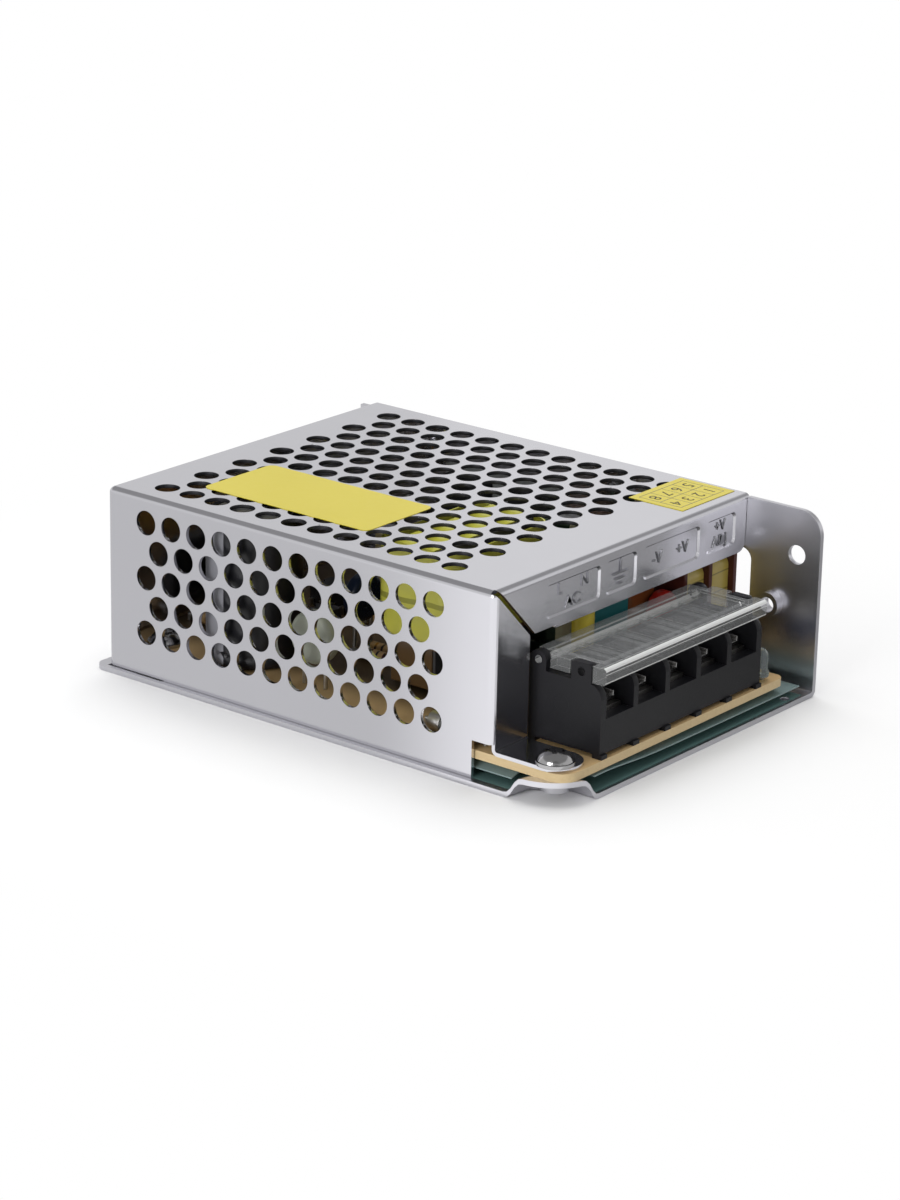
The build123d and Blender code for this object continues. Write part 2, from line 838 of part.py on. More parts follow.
# Terminal screws, each with a slot across its head
head_bottom = clamp_top + running_gap
for n, x in enumerate(pole_xs, start=1):
    with BuildPart() as terminal_screw:
        round_post(
            (x, terminal_screw_y, head_bottom - terminal_screw_length),
            screw_shank, terminal_screw_length,
        )
        round_post((x, terminal_screw_y, head_bottom), terminal_screw_head, terminal_head_height)
        rim = terminal_screw.edges().filter_by(GeomType.CIRCLE).sort_by(Axis.Z)[-1]
        fillet(rim, terminal_head_height / 4)
        with BuildSketch(Plane.XY.offset(head_bottom + terminal_head_height)):
            with Locations((x, terminal_screw_y)):
                Rectangle(2 * terminal_screw_head, slot_width, rotation=20 * n)
                Rectangle(slot_width, terminal_screw_head, rotation=20 * n)
        extrude(amount=-terminal_head_height / 2, mode=Mode.SUBTRACT)
    terminal_screw.part.label = f"terminal_screw_{n}"
    export_step(terminal_screw.part, f"parts/terminal_screw_{n}.step")

# Clear lid: plate with a fluted grip in front, pivots behind and ribs below
plate_near = block_near_x + block_wall + lid_gap
plate_far = block_far_x - block_wall - lid_gap
roll_back = front_ear_y - front_ear_depth / 2 - lid_gap
roll_front = roll_back - roll_depth
notch_front = front_ear_y + front_ear_depth / 2 + lid_gap
notch_back = pivot_y - ear_round - pivot_notch_gap
with BuildPart() as terminal_lid:
    block((plate_near, roll_back, lid_top - lid_plate), (plate_far, pivot_y + lid_tail, lid_top))
    block(
        (plate_near + lid_rim, roll_back, lid_top - lid_recess),
        (plate_far - lid_rim, pivot_y - lid_rim, lid_top),
        Mode.SUBTRACT,
    )
    with BuildSketch(Plane.YZ.offset(block_near_x)):
        with BuildLine():
            Polyline(
                (roll_back, roll_bottom),
                (roll_back, lid_top),
                (roll_front + flute_radius, lid_top),
                (roll_front, lid_top - flute_radius),
                (roll_front, roll_bottom + flute_radius),
                (roll_front + flute_radius, roll_bottom),
                close=True,
            )
        make_face()
        for n in range(flutes):
            with Locations((roll_front + flute_radius, roll_bottom + flute_radius + n * flute_rise)):
                Circle(flute_radius + n * fit_gap / 2)
    extrude(amount=block_length)
    for low, high in ((block_near_x, plate_near), (plate_far, block_far_x)):
        block((low, notch_front, notch_bottom), (high, notch_back, lid_top))
    with BuildSketch(Plane.YZ.offset(plate_near)):
        with Locations((pivot_y, pivot_z)):
            Circle(lid_barrel)
    extrude(amount=plate_far - plate_near)
    with BuildSketch(Plane.YZ.offset(block_near_x)):
        with Locations((pivot_y, pivot_z)):
            Circle(pivot_radius)
    extrude(amount=block_length)
    for n in range(1, poles):
        middle = block_near_x + block_wall / 2 + n * pole_pitch
        for side in (-1, 1):
            block(
                (middle + side * rib_spread - rib_width / 2, roll_back, lid_top - lid_plate - rib_drop),
                (middle + side * rib_spread + rib_width / 2, pivot_y, lid_top - lid_plate),
            )
terminal_lid.part.label = "terminal_lid"
export_step(terminal_lid.part, "parts/terminal_lid.step")

# Places of the wire leads in the board, as the parts on it need them
rail_y = bobbin_depth / 2 - rail_width / 2
leads = [
    (transformer_x + (n - 1.5) * pin_pitch, transformer_y + side * rail_y, rail_bottom)
    for side in (-1, 1)
    for n in range(4)
]
can_sizes = [(bulk_x, bulk_y, bulk_diameter)]
can_sizes += [(x, y, output_diameter) for x, y in output_points]
can_sizes += [(x, y, small_diameter) for x, y in small_points]
for x, y, diameter in can_sizes:
    for side in (-1, 1):
        leads.append((x, y + side * diameter / 4, board_top + can_standoff))
for x, y, width in (
    (film_box_x, film_box_y, film_box_width),
    (brown_box_x, brown_box_y, brown_box_width),
):
    for side in (-1, 1):
        leads.append((x + side * (width / 2 - box_lead_inset), y, board_top + can_standoff))
for x, y, radius, depth, turn, rise in disc_data.values():
    for side in (-1, 1):
        across = side * radius / 2
        inner = radius / 2 - lead_radius
        bottom = board_top + rise - (radius**2 - inner**2) ** 0.5
        leads.append((x + (0 if turn else across), y + (across if turn else 0), bottom))
for n in range(4):
    leads.append((bridge_x + (n - 1.5) * bridge_pitch, bridge_y, board_top + bridge_rise))
wires = [(x, y, resistor_length, resistor_reach, resistor_radius) for x, y in resistor_points]
wires.append((fuse_x, fuse_y, fuse_length, fuse_reach, fuse_radius))
for x, y, length, reach, radius in wires:
    for side in (-1, 1):
        leads.append((x, y + side * (length / 2 + reach), board_top + radius))
for side in (-1, 1):
    leads.append((led_x + side * led_lead_spread, led_y, board_top + led_rise))
    leads.append((upright_x + side * upright_spread, upright_y, board_top + can_standoff))
    for n in range(choke_sections):
        pin_x = choke_left + n * choke_pitch + choke_flange / 2
        leads.append((pin_x, choke_y + side * choke_pin_y, choke_z - choke_height / 2))
    leads.append((toroid_x - toroid_outer, toroid_y + side * toroid_lead_spread, board_top + toroid_lead))
for side in (-1, 0, 1):
    leads.append((trimmer_x + side * trimmer_lead_spread, trimmer_y, board_top + can_standoff))
package_back = wall_inner - silicone_pad
package_front = package_back - package_depth
package_ys = [clamp_screw_y - package_spread / 2, clamp_screw_y + package_spread / 2]
for y in package_ys:
    for n in (-1, 0, 1):
        leads.append((package_back - package_depth / 2, y + n * pin_grid, package_bottom))
chips = [(chip_x, chip_y, 4), (coupler_x, coupler_y, 2)]
chip_pins = [
    (x, y + (n - (pairs - 1) / 2) * pin_grid, side)
    for x, y, pairs in chips
    for n in range(pairs)
    for side in (-1, 1)
]
for x, y, side in chip_pins:
    leads.append((x + side * chip_row / 2, y, board_top + chip_shoulder))

# Circuit board, narrower beside the terminals, with drilled holes
with BuildPart() as circuit_board:
    with BuildSketch(Plane.XY.offset(board_bottom)) as outline:
        with BuildLine():
            Polyline(
                (board_near, board_front),
                (board_far_front, board_front),
                (board_far_front, board_front + board_step),
                (board_far, board_front + board_step),
                (board_far, board_back),
                (board_near, board_back),
                close=True,
            )
        make_face()
        near_corner = outline.vertices().sort_by_distance((board_near, board_front))[0]
        fillet(outline.vertices() - [near_corner], board_corner)
        near_corner = outline.vertices().sort_by_distance((board_near, board_front))[0]
        fillet(near_corner, board_near_corner)
    extrude(amount=board_thickness)
    for x, y in round_pads + [near_front_screw]:
        round_post((x, y, board_bottom), clear, board_thickness, Mode.SUBTRACT)
    for x, y, top in leads:
        round_post(
            (x, y, board_bottom), lead_radius + lead_clearance, board_thickness, Mode.SUBTRACT
        )
    for x in pole_xs:
        block(
            (x - contact_leg / 2 - fit_gap, contact_back - contact_thickness - fit_gap, board_bottom),
            (x + contact_leg / 2 + fit_gap, contact_back + fit_gap, board_top),
            Mode.SUBTRACT,
        )
circuit_board.part.label = "circuit_board"
export_step(circuit_board.part, "parts/circuit_board.step")

# Tinned leads down through the board
with BuildPart() as component_leads:
    for x, y, top in leads:
        round_post((x, y, board_bottom), lead_radius, top - board_bottom)
    for x, y, length, reach, radius in wires:
        for side in (-1, 1):
            bend_y = y + side * (length / 2 + reach)
            with BuildSketch(Plane.XZ.offset(-bend_y)):
                with Locations((x, board_top + radius)):
                    Circle(lead_radius)
            extrude(amount=side * reach)
            with Locations((x, bend_y, board_top + radius)):
                Sphere(lead_radius)
    for x, y, side in chip_pins:
        near = x + side * chip_width / 2
        far = x + side * (chip_row / 2 + lead_radius)
        level = board_top + chip_shoulder
        block((min(near, far), y - lead_radius, level - chip_pin), (max(near, far), y + lead_radius, level))
component_leads.part.label = "component_leads"
export_step(component_leads.part, "parts/component_leads.step")

# Transformer: E-shaped ferrite halves, bobbin, taped winding, a band over the core and a jacket round it
core_top = core_bottom + core_height
core_middle = (core_bottom + core_top) / 2
window_bottom = core_bottom + core_back
window_top = core_top - core_back
with BuildPart() as transformer_core:
    for low, high in ((core_bottom, core_middle), (core_middle + fit_gap / 2, core_top)):
        block(
            (transformer_x - core_length / 2, transformer_y - core_width / 2, low),
            (transformer_x + core_length / 2, transformer_y + core_width / 2, high),
        )
    for side in (-1, 1):
        near = transformer_x + side * core_leg
        far = transformer_x + side * (core_length / 2 - core_leg)
        block(
            (min(near, far), transformer_y - core_width, window_bottom),
            (max(near, far), transformer_y + core_width, window_top),
            Mode.SUBTRACT,
        )
transformer_core.part.label = "transformer_core"
export_step(transformer_core.part, "parts/transformer_core.step")

tube_x = core_leg + fit_gap + bobbin_wall
tube_y = core_width / 2 + fit_gap + bobbin_wall
with BuildPart() as transformer_bobbin:
    block(
        (transformer_x - tube_x, transformer_y - tube_y, window_bottom + fit_gap),
        (transformer_x + tube_x, transformer_y + tube_y, window_top - fit_gap),
    )
    for low in (rail_top - bobbin_wall, window_top - fit_gap - bobbin_wall):
        block(
            (transformer_x - bobbin_length / 2, transformer_y - bobbin_depth / 2, low),
            (transformer_x + bobbin_length / 2, transformer_y + bobbin_depth / 2, low + bobbin_wall),
        )
    for side in (-1, 1):
        block(
            (
                transformer_x - bobbin_length / 2,
                transformer_y + side * rail_y - rail_width / 2,
                rail_bottom,
            ),
            (
                transformer_x + bobbin_length / 2,
                transformer_y + side * rail_y + rail_width / 2,
                rail_top,
            ),
        )
    block(
        (
            transformer_x - core_leg - fit_gap,
            transformer_y - core_width / 2 - fit_gap,
            window_bottom,
        ),
        (
            transformer_x + core_leg + fit_gap,
            transformer_y + core_width / 2 + fit_gap,
            window_top,
        ),
        Mode.SUBTRACT,
    )
transformer_bobbin.part.label = "transformer_bobbin"
export_step(transformer_bobbin.part, "parts/transformer_bobbin.step")

winding_bottom = rail_top
winding_top = window_top - fit_gap - bobbin_wall
with BuildPart() as transformer_winding:
    with BuildSketch(Plane.XY.offset(winding_bottom)):
        with Locations((transformer_x, transformer_y)):
            RectangleRounded(
                bobbin_length - 2 * winding_inset, bobbin_depth - 2 * winding_inset, bobbin_wall * 3
            )
            Rectangle(2 * tube_x, 2 * tube_y, mode=Mode.SUBTRACT)
    extrude(amount=winding_top - winding_bottom)
transformer_winding.part.label = "transformer_winding"
export_step(transformer_winding.part, "parts/transformer_winding.step")

with BuildPart() as transformer_band:
    block(
        (
            transformer_x - core_length / 2 - band_thickness,
            transformer_y - core_width / 2 + winding_inset,
            core_bottom - band_thickness,
        ),
        (
            transformer_x + core_length / 2 + band_thickness,
            transformer_y + core_width / 2 - winding_inset,
            core_top + band_thickness,
        ),
    )
    fillet(transformer_band.edges().filter_by(Axis.Y), band_thickness)
    block(
        (transformer_x - core_length / 2, transformer_y - core_width, core_bottom),
        (transformer_x + core_length / 2, transformer_y + core_width, core_top),
        Mode.SUBTRACT,
    )
transformer_band.part.label = "transformer_band"
export_step(transformer_band.part, "parts/transformer_band.step")

jacket_length = core_length + 2 * band_thickness
with BuildPart() as transformer_jacket:
    with BuildSketch(Plane.XY.offset(jacket_bottom)):
        with Locations((transformer_x, transformer_y)):
            RectangleRounded(
                jacket_length + 2 * band_thickness, bobbin_depth + 2 * band_thickness, jacket_corner
            )
            RectangleRounded(
                jacket_length, bobbin_depth, jacket_corner - band_thickness, mode=Mode.SUBTRACT
            )
    extrude(amount=core_top - jacket_bottom)
transformer_jacket.part.label = "transformer_jacket"
export_step(transformer_jacket.part, "parts/transformer_jacket.step")


def can(x, y, diameter, height, groove):
    """Electrolytic capacitor: a can with a pressed groove near its foot and a rounded top."""
    radius = diameter / 2
    foot = board_top + can_standoff
    with BuildSketch(Plane.XZ.offset(-y)) as section:
        with BuildLine():
            Polyline(
                (x, foot),
                (x + radius, foot),
                (x + radius, foot + groove - can_groove_depth),
                (x + radius - can_groove_depth, foot + groove),
                (x + radius, foot + groove + can_groove_depth),
                (x + radius, foot + height),
                (x, foot + height),
                close=True,
            )
        make_face()
        fillet(section.vertices().sort_by_distance((x + radius, foot + height))[0], can_groove_depth)
        fillet(section.vertices().sort_by_distance((x + radius, foot))[0], can_groove_depth)
    revolve(section.sketch, axis=Axis((x, y, 0), (0, 0, 1)))
    with BuildSketch(Plane.XY.offset(foot + height)) as scores:
        with Locations((x, y)):
            Rectangle(radius, can_groove_depth / 2)
            Rectangle(can_groove_depth / 2, radius)
    extrude(scores.sketch, amount=-can_groove_depth / 3, mode=Mode.SUBTRACT)


# Electrolytic capacitors
with BuildPart() as bulk_capacitor:
    can(bulk_x, bulk_y, bulk_diameter, bulk_height, can_groove)
bulk_capacitor.part.label = "bulk_capacitor"
export_step(bulk_capacitor.part, "parts/bulk_capacitor.step")

with BuildPart() as output_capacitors:
    for x, y in output_points:
        can(x, y, output_diameter, output_height, can_groove)
output_capacitors.part.label = "output_capacitors"
export_step(output_capacitors.part, "parts/output_capacitors.step")

with BuildPart() as small_capacitors:
    for x, y in small_points:
        can(x, y, small_diameter, small_height, can_groove)
small_capacitors.part.label = "small_capacitors"
export_step(small_capacitors.part, "parts/small_capacitors.step")

# Film capacitors: a cased one and a dipped one
with BuildPart() as film_capacitor:
    block(
        (film_box_x - film_box_width / 2, film_box_y - film_box_depth / 2, board_top),
        (film_box_x + film_box_width / 2, film_box_y + film_box_depth / 2, board_top + film_box_height),
    )
    fillet(film_capacitor.edges().filter_by(Axis.Z), can_groove_depth)
    block(
        (film_box_x - film_box_width / 2 + film_box_foot, film_box_y - film_box_depth, board_top),
        (
            film_box_x + film_box_width / 2 - film_box_foot,
            film_box_y + film_box_depth,
            board_top + can_standoff,
        ),
        Mode.SUBTRACT,
    )
film_capacitor.part.label = "film_capacitor"
export_step(film_capacitor.part, "parts/film_capacitor.step")

with BuildPart() as dipped_capacitor:
    foot = board_top + can_standoff
    block(
        (brown_box_x - brown_box_width / 2, brown_box_y - brown_box_depth / 2, foot),
        (brown_box_x + brown_box_width / 2, brown_box_y + brown_box_depth / 2, foot + brown_box_height),
    )
    fillet(dipped_capacitor.edges(), brown_box_depth / 3)
dipped_capacitor.part.label = "dipped_capacitor"
export_step(dipped_capacitor.part, "parts/dipped_capacitor.step")

# Dipped discs: surge arrester, inrush thermistor and safety capacitor
for name, (x, y, radius, depth, turn, rise) in disc_data.items():
    with BuildPart() as disc:
        plane = Plane.YZ.offset(x) if turn else Plane.XZ.offset(-y)
        with BuildSketch(plane):
            with Locations((y if turn else x, board_top + rise)):
                Circle(radius)
        extrude(amount=depth / 2, both=True)
        fillet(disc.edges().filter_by(GeomType.CIRCLE), depth / 3)
    disc.part.label = name
    export_step(disc.part, f"parts/{name}.step")

# Fusible resistor that stands on end in a shrunk sleeve
with BuildPart() as upright_resistor:
    round_post((upright_x, upright_y, board_top + can_standoff), upright_radius, upright_height)
    fillet(upright_resistor.edges().filter_by(GeomType.CIRCLE), upright_radius / 3)
upright_resistor.part.label = "upright_resistor"
export_step(upright_resistor.part, "parts/upright_resistor.step")

# Line choke: ferrite rod along X in a bobbin with three flanges, and two taped windings
choke_right = choke_left + choke_sections * choke_pitch + choke_flange
with BuildPart() as choke_core:
    with BuildSketch(Plane.YZ.offset(choke_left)):
        with Locations((choke_y, choke_z)):
            Circle(choke_rod)
    extrude(amount=choke_right - choke_left)
choke_core.part.label = "choke_core"
export_step(choke_core.part, "parts/choke_core.step")

with BuildPart() as choke_bobbin:
    with BuildSketch(Plane.YZ.offset(choke_left)):
        with Locations((choke_y, choke_z)):
            Circle(choke_tube)
    extrude(amount=choke_right - choke_left)
    for n in range(choke_sections + 1):
        with BuildSketch(Plane.YZ.offset(choke_left + n * choke_pitch)):
            with Locations((choke_y, choke_z)):
                RectangleRounded(choke_depth, choke_height, choke_corner / 2)
        extrude(amount=choke_flange)
    with BuildSketch(Plane.YZ.offset(choke_left)):
        with Locations((choke_y, choke_z)):
            Circle(choke_rod + fit_gap / 2)
    extrude(amount=choke_right - choke_left, mode=Mode.SUBTRACT)
choke_bobbin.part.label = "choke_bobbin"
export_step(choke_bobbin.part, "parts/choke_bobbin.step")

with BuildPart() as choke_windings:
    for n in range(choke_sections):
        with BuildSketch(Plane.YZ.offset(choke_left + n * choke_pitch + choke_flange)):
            with Locations((choke_y, choke_z)):
                RectangleRounded(
                    choke_depth - 2 * choke_wall, choke_height - 2 * choke_wall, choke_corner
                )
                Circle(choke_tube, mode=Mode.SUBTRACT)
        extrude(amount=choke_pitch - choke_flange)
choke_windings.part.label = "choke_windings"
export_step(choke_windings.part, "parts/choke_windings.step")

# Output choke: powder ring with turns of enamelled wire that rest on the board
ring_low = board_top + toroid_wire
ring_inner = toroid_inner + toroid_wire
ring_outer = toroid_outer - toroid_wire
with BuildPart() as toroid_core:
    round_post((toroid_x, toroid_y, ring_low), ring_outer, toroid_height)
    round_post((toroid_x, toroid_y, ring_low), ring_inner, toroid_height, Mode.SUBTRACT)
toroid_core.part.label = "toroid_core"
export_step(toroid_core.part, "parts/toroid_core.step")

with BuildPart() as toroid_winding:
    with BuildPart(mode=Mode.PRIVATE) as one_turn:
        with BuildSketch(Plane.XZ.offset(-toroid_y)):
            with Locations((toroid_x + (ring_inner + ring_outer) / 2, ring_low + toroid_height / 2)):
                RectangleRounded(
                    ring_outer - ring_inner + 2 * toroid_wire,
                    toroid_height + 2 * toroid_wire,
                    toroid_wire,
                )
                Rectangle(
                    ring_outer - ring_inner + lead_clearance,
                    toroid_height + lead_clearance,
                    mode=Mode.SUBTRACT,
                )
        extrude(amount=toroid_wire / 2, both=True)
    ring_axis = Axis((toroid_x, toroid_y, 0), (0, 0, 1))
    for n in range(toroid_turns):
        add(one_turn.part.rotate(ring_axis, n * 360 / toroid_turns))
toroid_winding.part.label = "toroid_winding"
export_step(toroid_winding.part, "parts/toroid_winding.step")

# Bridge rectifier, with one cut corner
bridge_low = board_top + bridge_rise
with BuildPart() as bridge_rectifier:
    block(
        (bridge_x - bridge_width / 2, bridge_y - bridge_depth / 2, bridge_low),
        (bridge_x + bridge_width / 2, bridge_y + bridge_depth / 2, bridge_low + bridge_height),
    )
    chamfer(
        bridge_rectifier.edges().filter_by(Axis.Y).group_by(Axis.Z)[-1].sort_by(Axis.X)[0],
        bridge_corner,
    )
bridge_rectifier.part.label = "bridge_rectifier"
export_step(bridge_rectifier.part, "parts/bridge_rectifier.step")

# Power transistor and output rectifier, pressed to the wall by one bar
package_step = package_bottom + package_height * 0.6
for name, y in zip(("power_transistor", "output_rectifier"), package_ys):
    with BuildPart() as package:
        block(
            (package_front, y - package_width / 2, package_bottom),
            (package_back, y + package_width / 2, package_bottom + package_height),
        )
        block(
            (package_front, y - package_width / 2, package_step),
            (package_front + package_recess, y + package_width / 2, package_bottom + package_height),
            Mode.SUBTRACT,
        )
        chamfer(package.edges().filter_by(Axis.X).group_by(Axis.Z)[-1], can_groove_depth)
    package.part.label = name
    export_step(package.part, f"parts/{name}.step")

pad_low_y = package_ys[0] - package_width / 2 - silicone_margin
pad_high_y = package_ys[1] + package_width / 2 + silicone_margin
with BuildPart() as silicone_sheet:
    block(
        (package_back, pad_low_y, package_bottom - silicone_margin),
        (wall_inner, pad_high_y, package_bottom + package_height + silicone_margin),
    )
    with BuildSketch(Plane.YZ.offset(package_back)):
        with Locations((clamp_screw_y, clamp_screw_z)):
            Circle(pad_burr + fit_gap)
    extrude(amount=silicone_pad, mode=Mode.SUBTRACT)
silicone_sheet.part.label = "silicone_sheet"
export_step(silicone_sheet.part, "parts/silicone_sheet.step")

bar_front = package_front - bar_depth
with BuildPart() as clamp_bar:
    block(
        (bar_front, pad_low_y, clamp_screw_z - bar_width / 2),
        (package_front, pad_high_y, clamp_screw_z + bar_width / 2),
    )
    with BuildSketch(Plane.YZ.offset(bar_front)):
        with Locations((clamp_screw_y, clamp_screw_z)):
            Circle(clear)
    extrude(amount=bar_depth, mode=Mode.SUBTRACT)
clamp_bar.part.label = "clamp_bar"
export_step(clamp_bar.part, "parts/clamp_bar.step")

with BuildPart() as clamp_screw:
    with BuildSketch(Plane.YZ.offset(bar_front - clamp_head_height)):
        with Locations((clamp_screw_y, clamp_screw_z)):
            Circle(clamp_head)
    extrude(amount=clamp_head_height)
    with BuildSketch(Plane.YZ.offset(bar_front)):
        with Locations((clamp_screw_y, clamp_screw_z)):
            Circle(screw_shank)
    extrude(amount=clamp_screw_length)
    fillet(clamp_screw.edges().filter_by(GeomType.CIRCLE).sort_by(Axis.X)[0], clamp_head_height / 2)
    with BuildSketch(Plane.YZ.offset(bar_front - clamp_head_height)):
        with Locations((clamp_screw_y, clamp_screw_z)):
            Rectangle(screw_shank, slot_width)
            Rectangle(slot_width, screw_shank)
    extrude(amount=clamp_head_height / 2, mode=Mode.SUBTRACT)
clamp_screw.part.label = "clamp_screw"
export_step(clamp_screw.part, "parts/clamp_screw.step")

# Control chip and optocoupler, each with a notch at one end
for name, x, y, length in (
    ("control_chip", chip_x, chip_y, chip_length),
    ("optocoupler", coupler_x, coupler_y, coupler_length),
):
    chip_low = board_top + chip_lift
    with BuildPart() as chip:
        block(
            (x - chip_width / 2, y - length / 2, chip_low),
            (x + chip_width / 2, y + length / 2, chip_low + chip_height),
        )
        round_post(
            (x, y + length / 2, chip_low + chip_height - chip_notch), chip_notch, chip_notch, Mode.SUBTRACT
        )
    chip.part.label = name
    export_step(chip.part, f"parts/{name}.step")

# Resistors that lie on the board
with BuildPart() as resistors:
    for x, y in resistor_points:
        with Locations(Location((x, y, board_top + resistor_radius), (90, 0, 0))):
            Cylinder(resistor_radius, resistor_length)
    fillet(resistors.edges().filter_by(GeomType.CIRCLE), resistor_radius / 3)
resistors.part.label = "resistors"
export_step(resistors.part, "parts/resistors.step")

# Fuse: glass tube between two metal caps
tube_radius = fuse_radius - cap_sheet - lead_clearance / 2
with BuildPart() as fuse_tube:
    with Locations(Location((fuse_x, fuse_y, board_top + fuse_radius), (90, 0, 0))):
        Cylinder(tube_radius, fuse_length - 2 * cap_end)
        Cylinder(tube_radius - fuse_wall, fuse_length, mode=Mode.SUBTRACT)
fuse_tube.part.label = "fuse_tube"
export_step(fuse_tube.part, "parts/fuse_tube.step")

with BuildPart() as fuse_caps:
    for side in (-1, 1):
        cap_y = fuse_y + side * (fuse_length - fuse_cap) / 2
        with Locations(Location((fuse_x, cap_y, board_top + fuse_radius), (90, 0, 0))):
            Cylinder(fuse_radius, fuse_cap)
    with Locations(Location((fuse_x, fuse_y, board_top + fuse_radius), (90, 0, 0))):
        Cylinder(fuse_radius - cap_sheet, fuse_length - 2 * cap_end, mode=Mode.SUBTRACT)
fuse_caps.part.label = "fuse_caps"
export_step(fuse_caps.part, "parts/fuse_caps.step")

# Voltage trimmer: square body with a turning rotor let into its top
trimmer_low = board_top + can_standoff
trimmer_top = trimmer_low + trimmer_height
with BuildPart() as trimmer_body:
    block(
        (trimmer_x - trimmer_size / 2, trimmer_y - trimmer_size / 2, trimmer_low),
        (trimmer_x + trimmer_size / 2, trimmer_y + trimmer_size / 2, trimmer_top),
    )
    chamfer(trimmer_body.edges().filter_by(Axis.Z), trimmer_cut)
    round_post(
        (trimmer_x, trimmer_y, trimmer_top - rotor_depth), rotor_radius + fit_gap, rotor_depth, Mode.SUBTRACT
    )
trimmer_body.part.label = "trimmer_body"
export_step(trimmer_body.part, "parts/trimmer_body.step")

rotor_low = trimmer_top - rotor_depth + running_gap
rotor_top = trimmer_top + rotor_rise
with BuildPart() as trimmer_rotor:
    round_post((trimmer_x, trimmer_y, rotor_low), rotor_radius, rotor_top - rotor_low)
    with BuildSketch(Plane.XY.offset(rotor_top)):
        with Locations((trimmer_x, trimmer_y)):
            Rectangle(2 * rotor_radius, rotor_slot)
            Rectangle(rotor_slot, rotor_radius)
    extrude(amount=-rotor_slot_depth, mode=Mode.SUBTRACT)
trimmer_rotor.part.label = "trimmer_rotor"
export_step(trimmer_rotor.part, "parts/trimmer_rotor.step")

# Output indicator: a small round lamp with a collar
led_low = board_top + led_rise
with BuildPart() as indicator_led:
    round_post((led_x, led_y, led_low), led_collar, led_collar_height)
    round_post((led_x, led_y, led_low), led_radius, led_height - led_radius)
    with Locations((led_x, led_y, led_low + led_height - led_radius)):
        Sphere(led_radius)
indicator_led.part.label = "indicator_led"
export_step(indicator_led.part, "parts/indicator_led.step")
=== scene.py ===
"""LED power supply: folded case, board with its parts, and terminal block with its lid."""

import math

import bpy
from mathutils import Matrix, Vector


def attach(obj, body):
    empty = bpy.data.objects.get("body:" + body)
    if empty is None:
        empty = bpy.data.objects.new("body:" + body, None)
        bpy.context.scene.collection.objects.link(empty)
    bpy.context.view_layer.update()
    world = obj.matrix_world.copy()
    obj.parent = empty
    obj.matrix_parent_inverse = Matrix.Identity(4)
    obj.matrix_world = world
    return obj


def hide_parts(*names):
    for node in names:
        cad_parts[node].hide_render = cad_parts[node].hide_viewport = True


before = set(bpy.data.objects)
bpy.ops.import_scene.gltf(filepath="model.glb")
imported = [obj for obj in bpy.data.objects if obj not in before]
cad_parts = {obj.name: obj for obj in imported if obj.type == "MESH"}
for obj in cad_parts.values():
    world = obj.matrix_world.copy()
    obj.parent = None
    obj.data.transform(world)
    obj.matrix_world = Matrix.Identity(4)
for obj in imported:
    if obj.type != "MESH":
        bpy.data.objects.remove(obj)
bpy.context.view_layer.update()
bpy.ops.object.select_all(action="DESELECT")
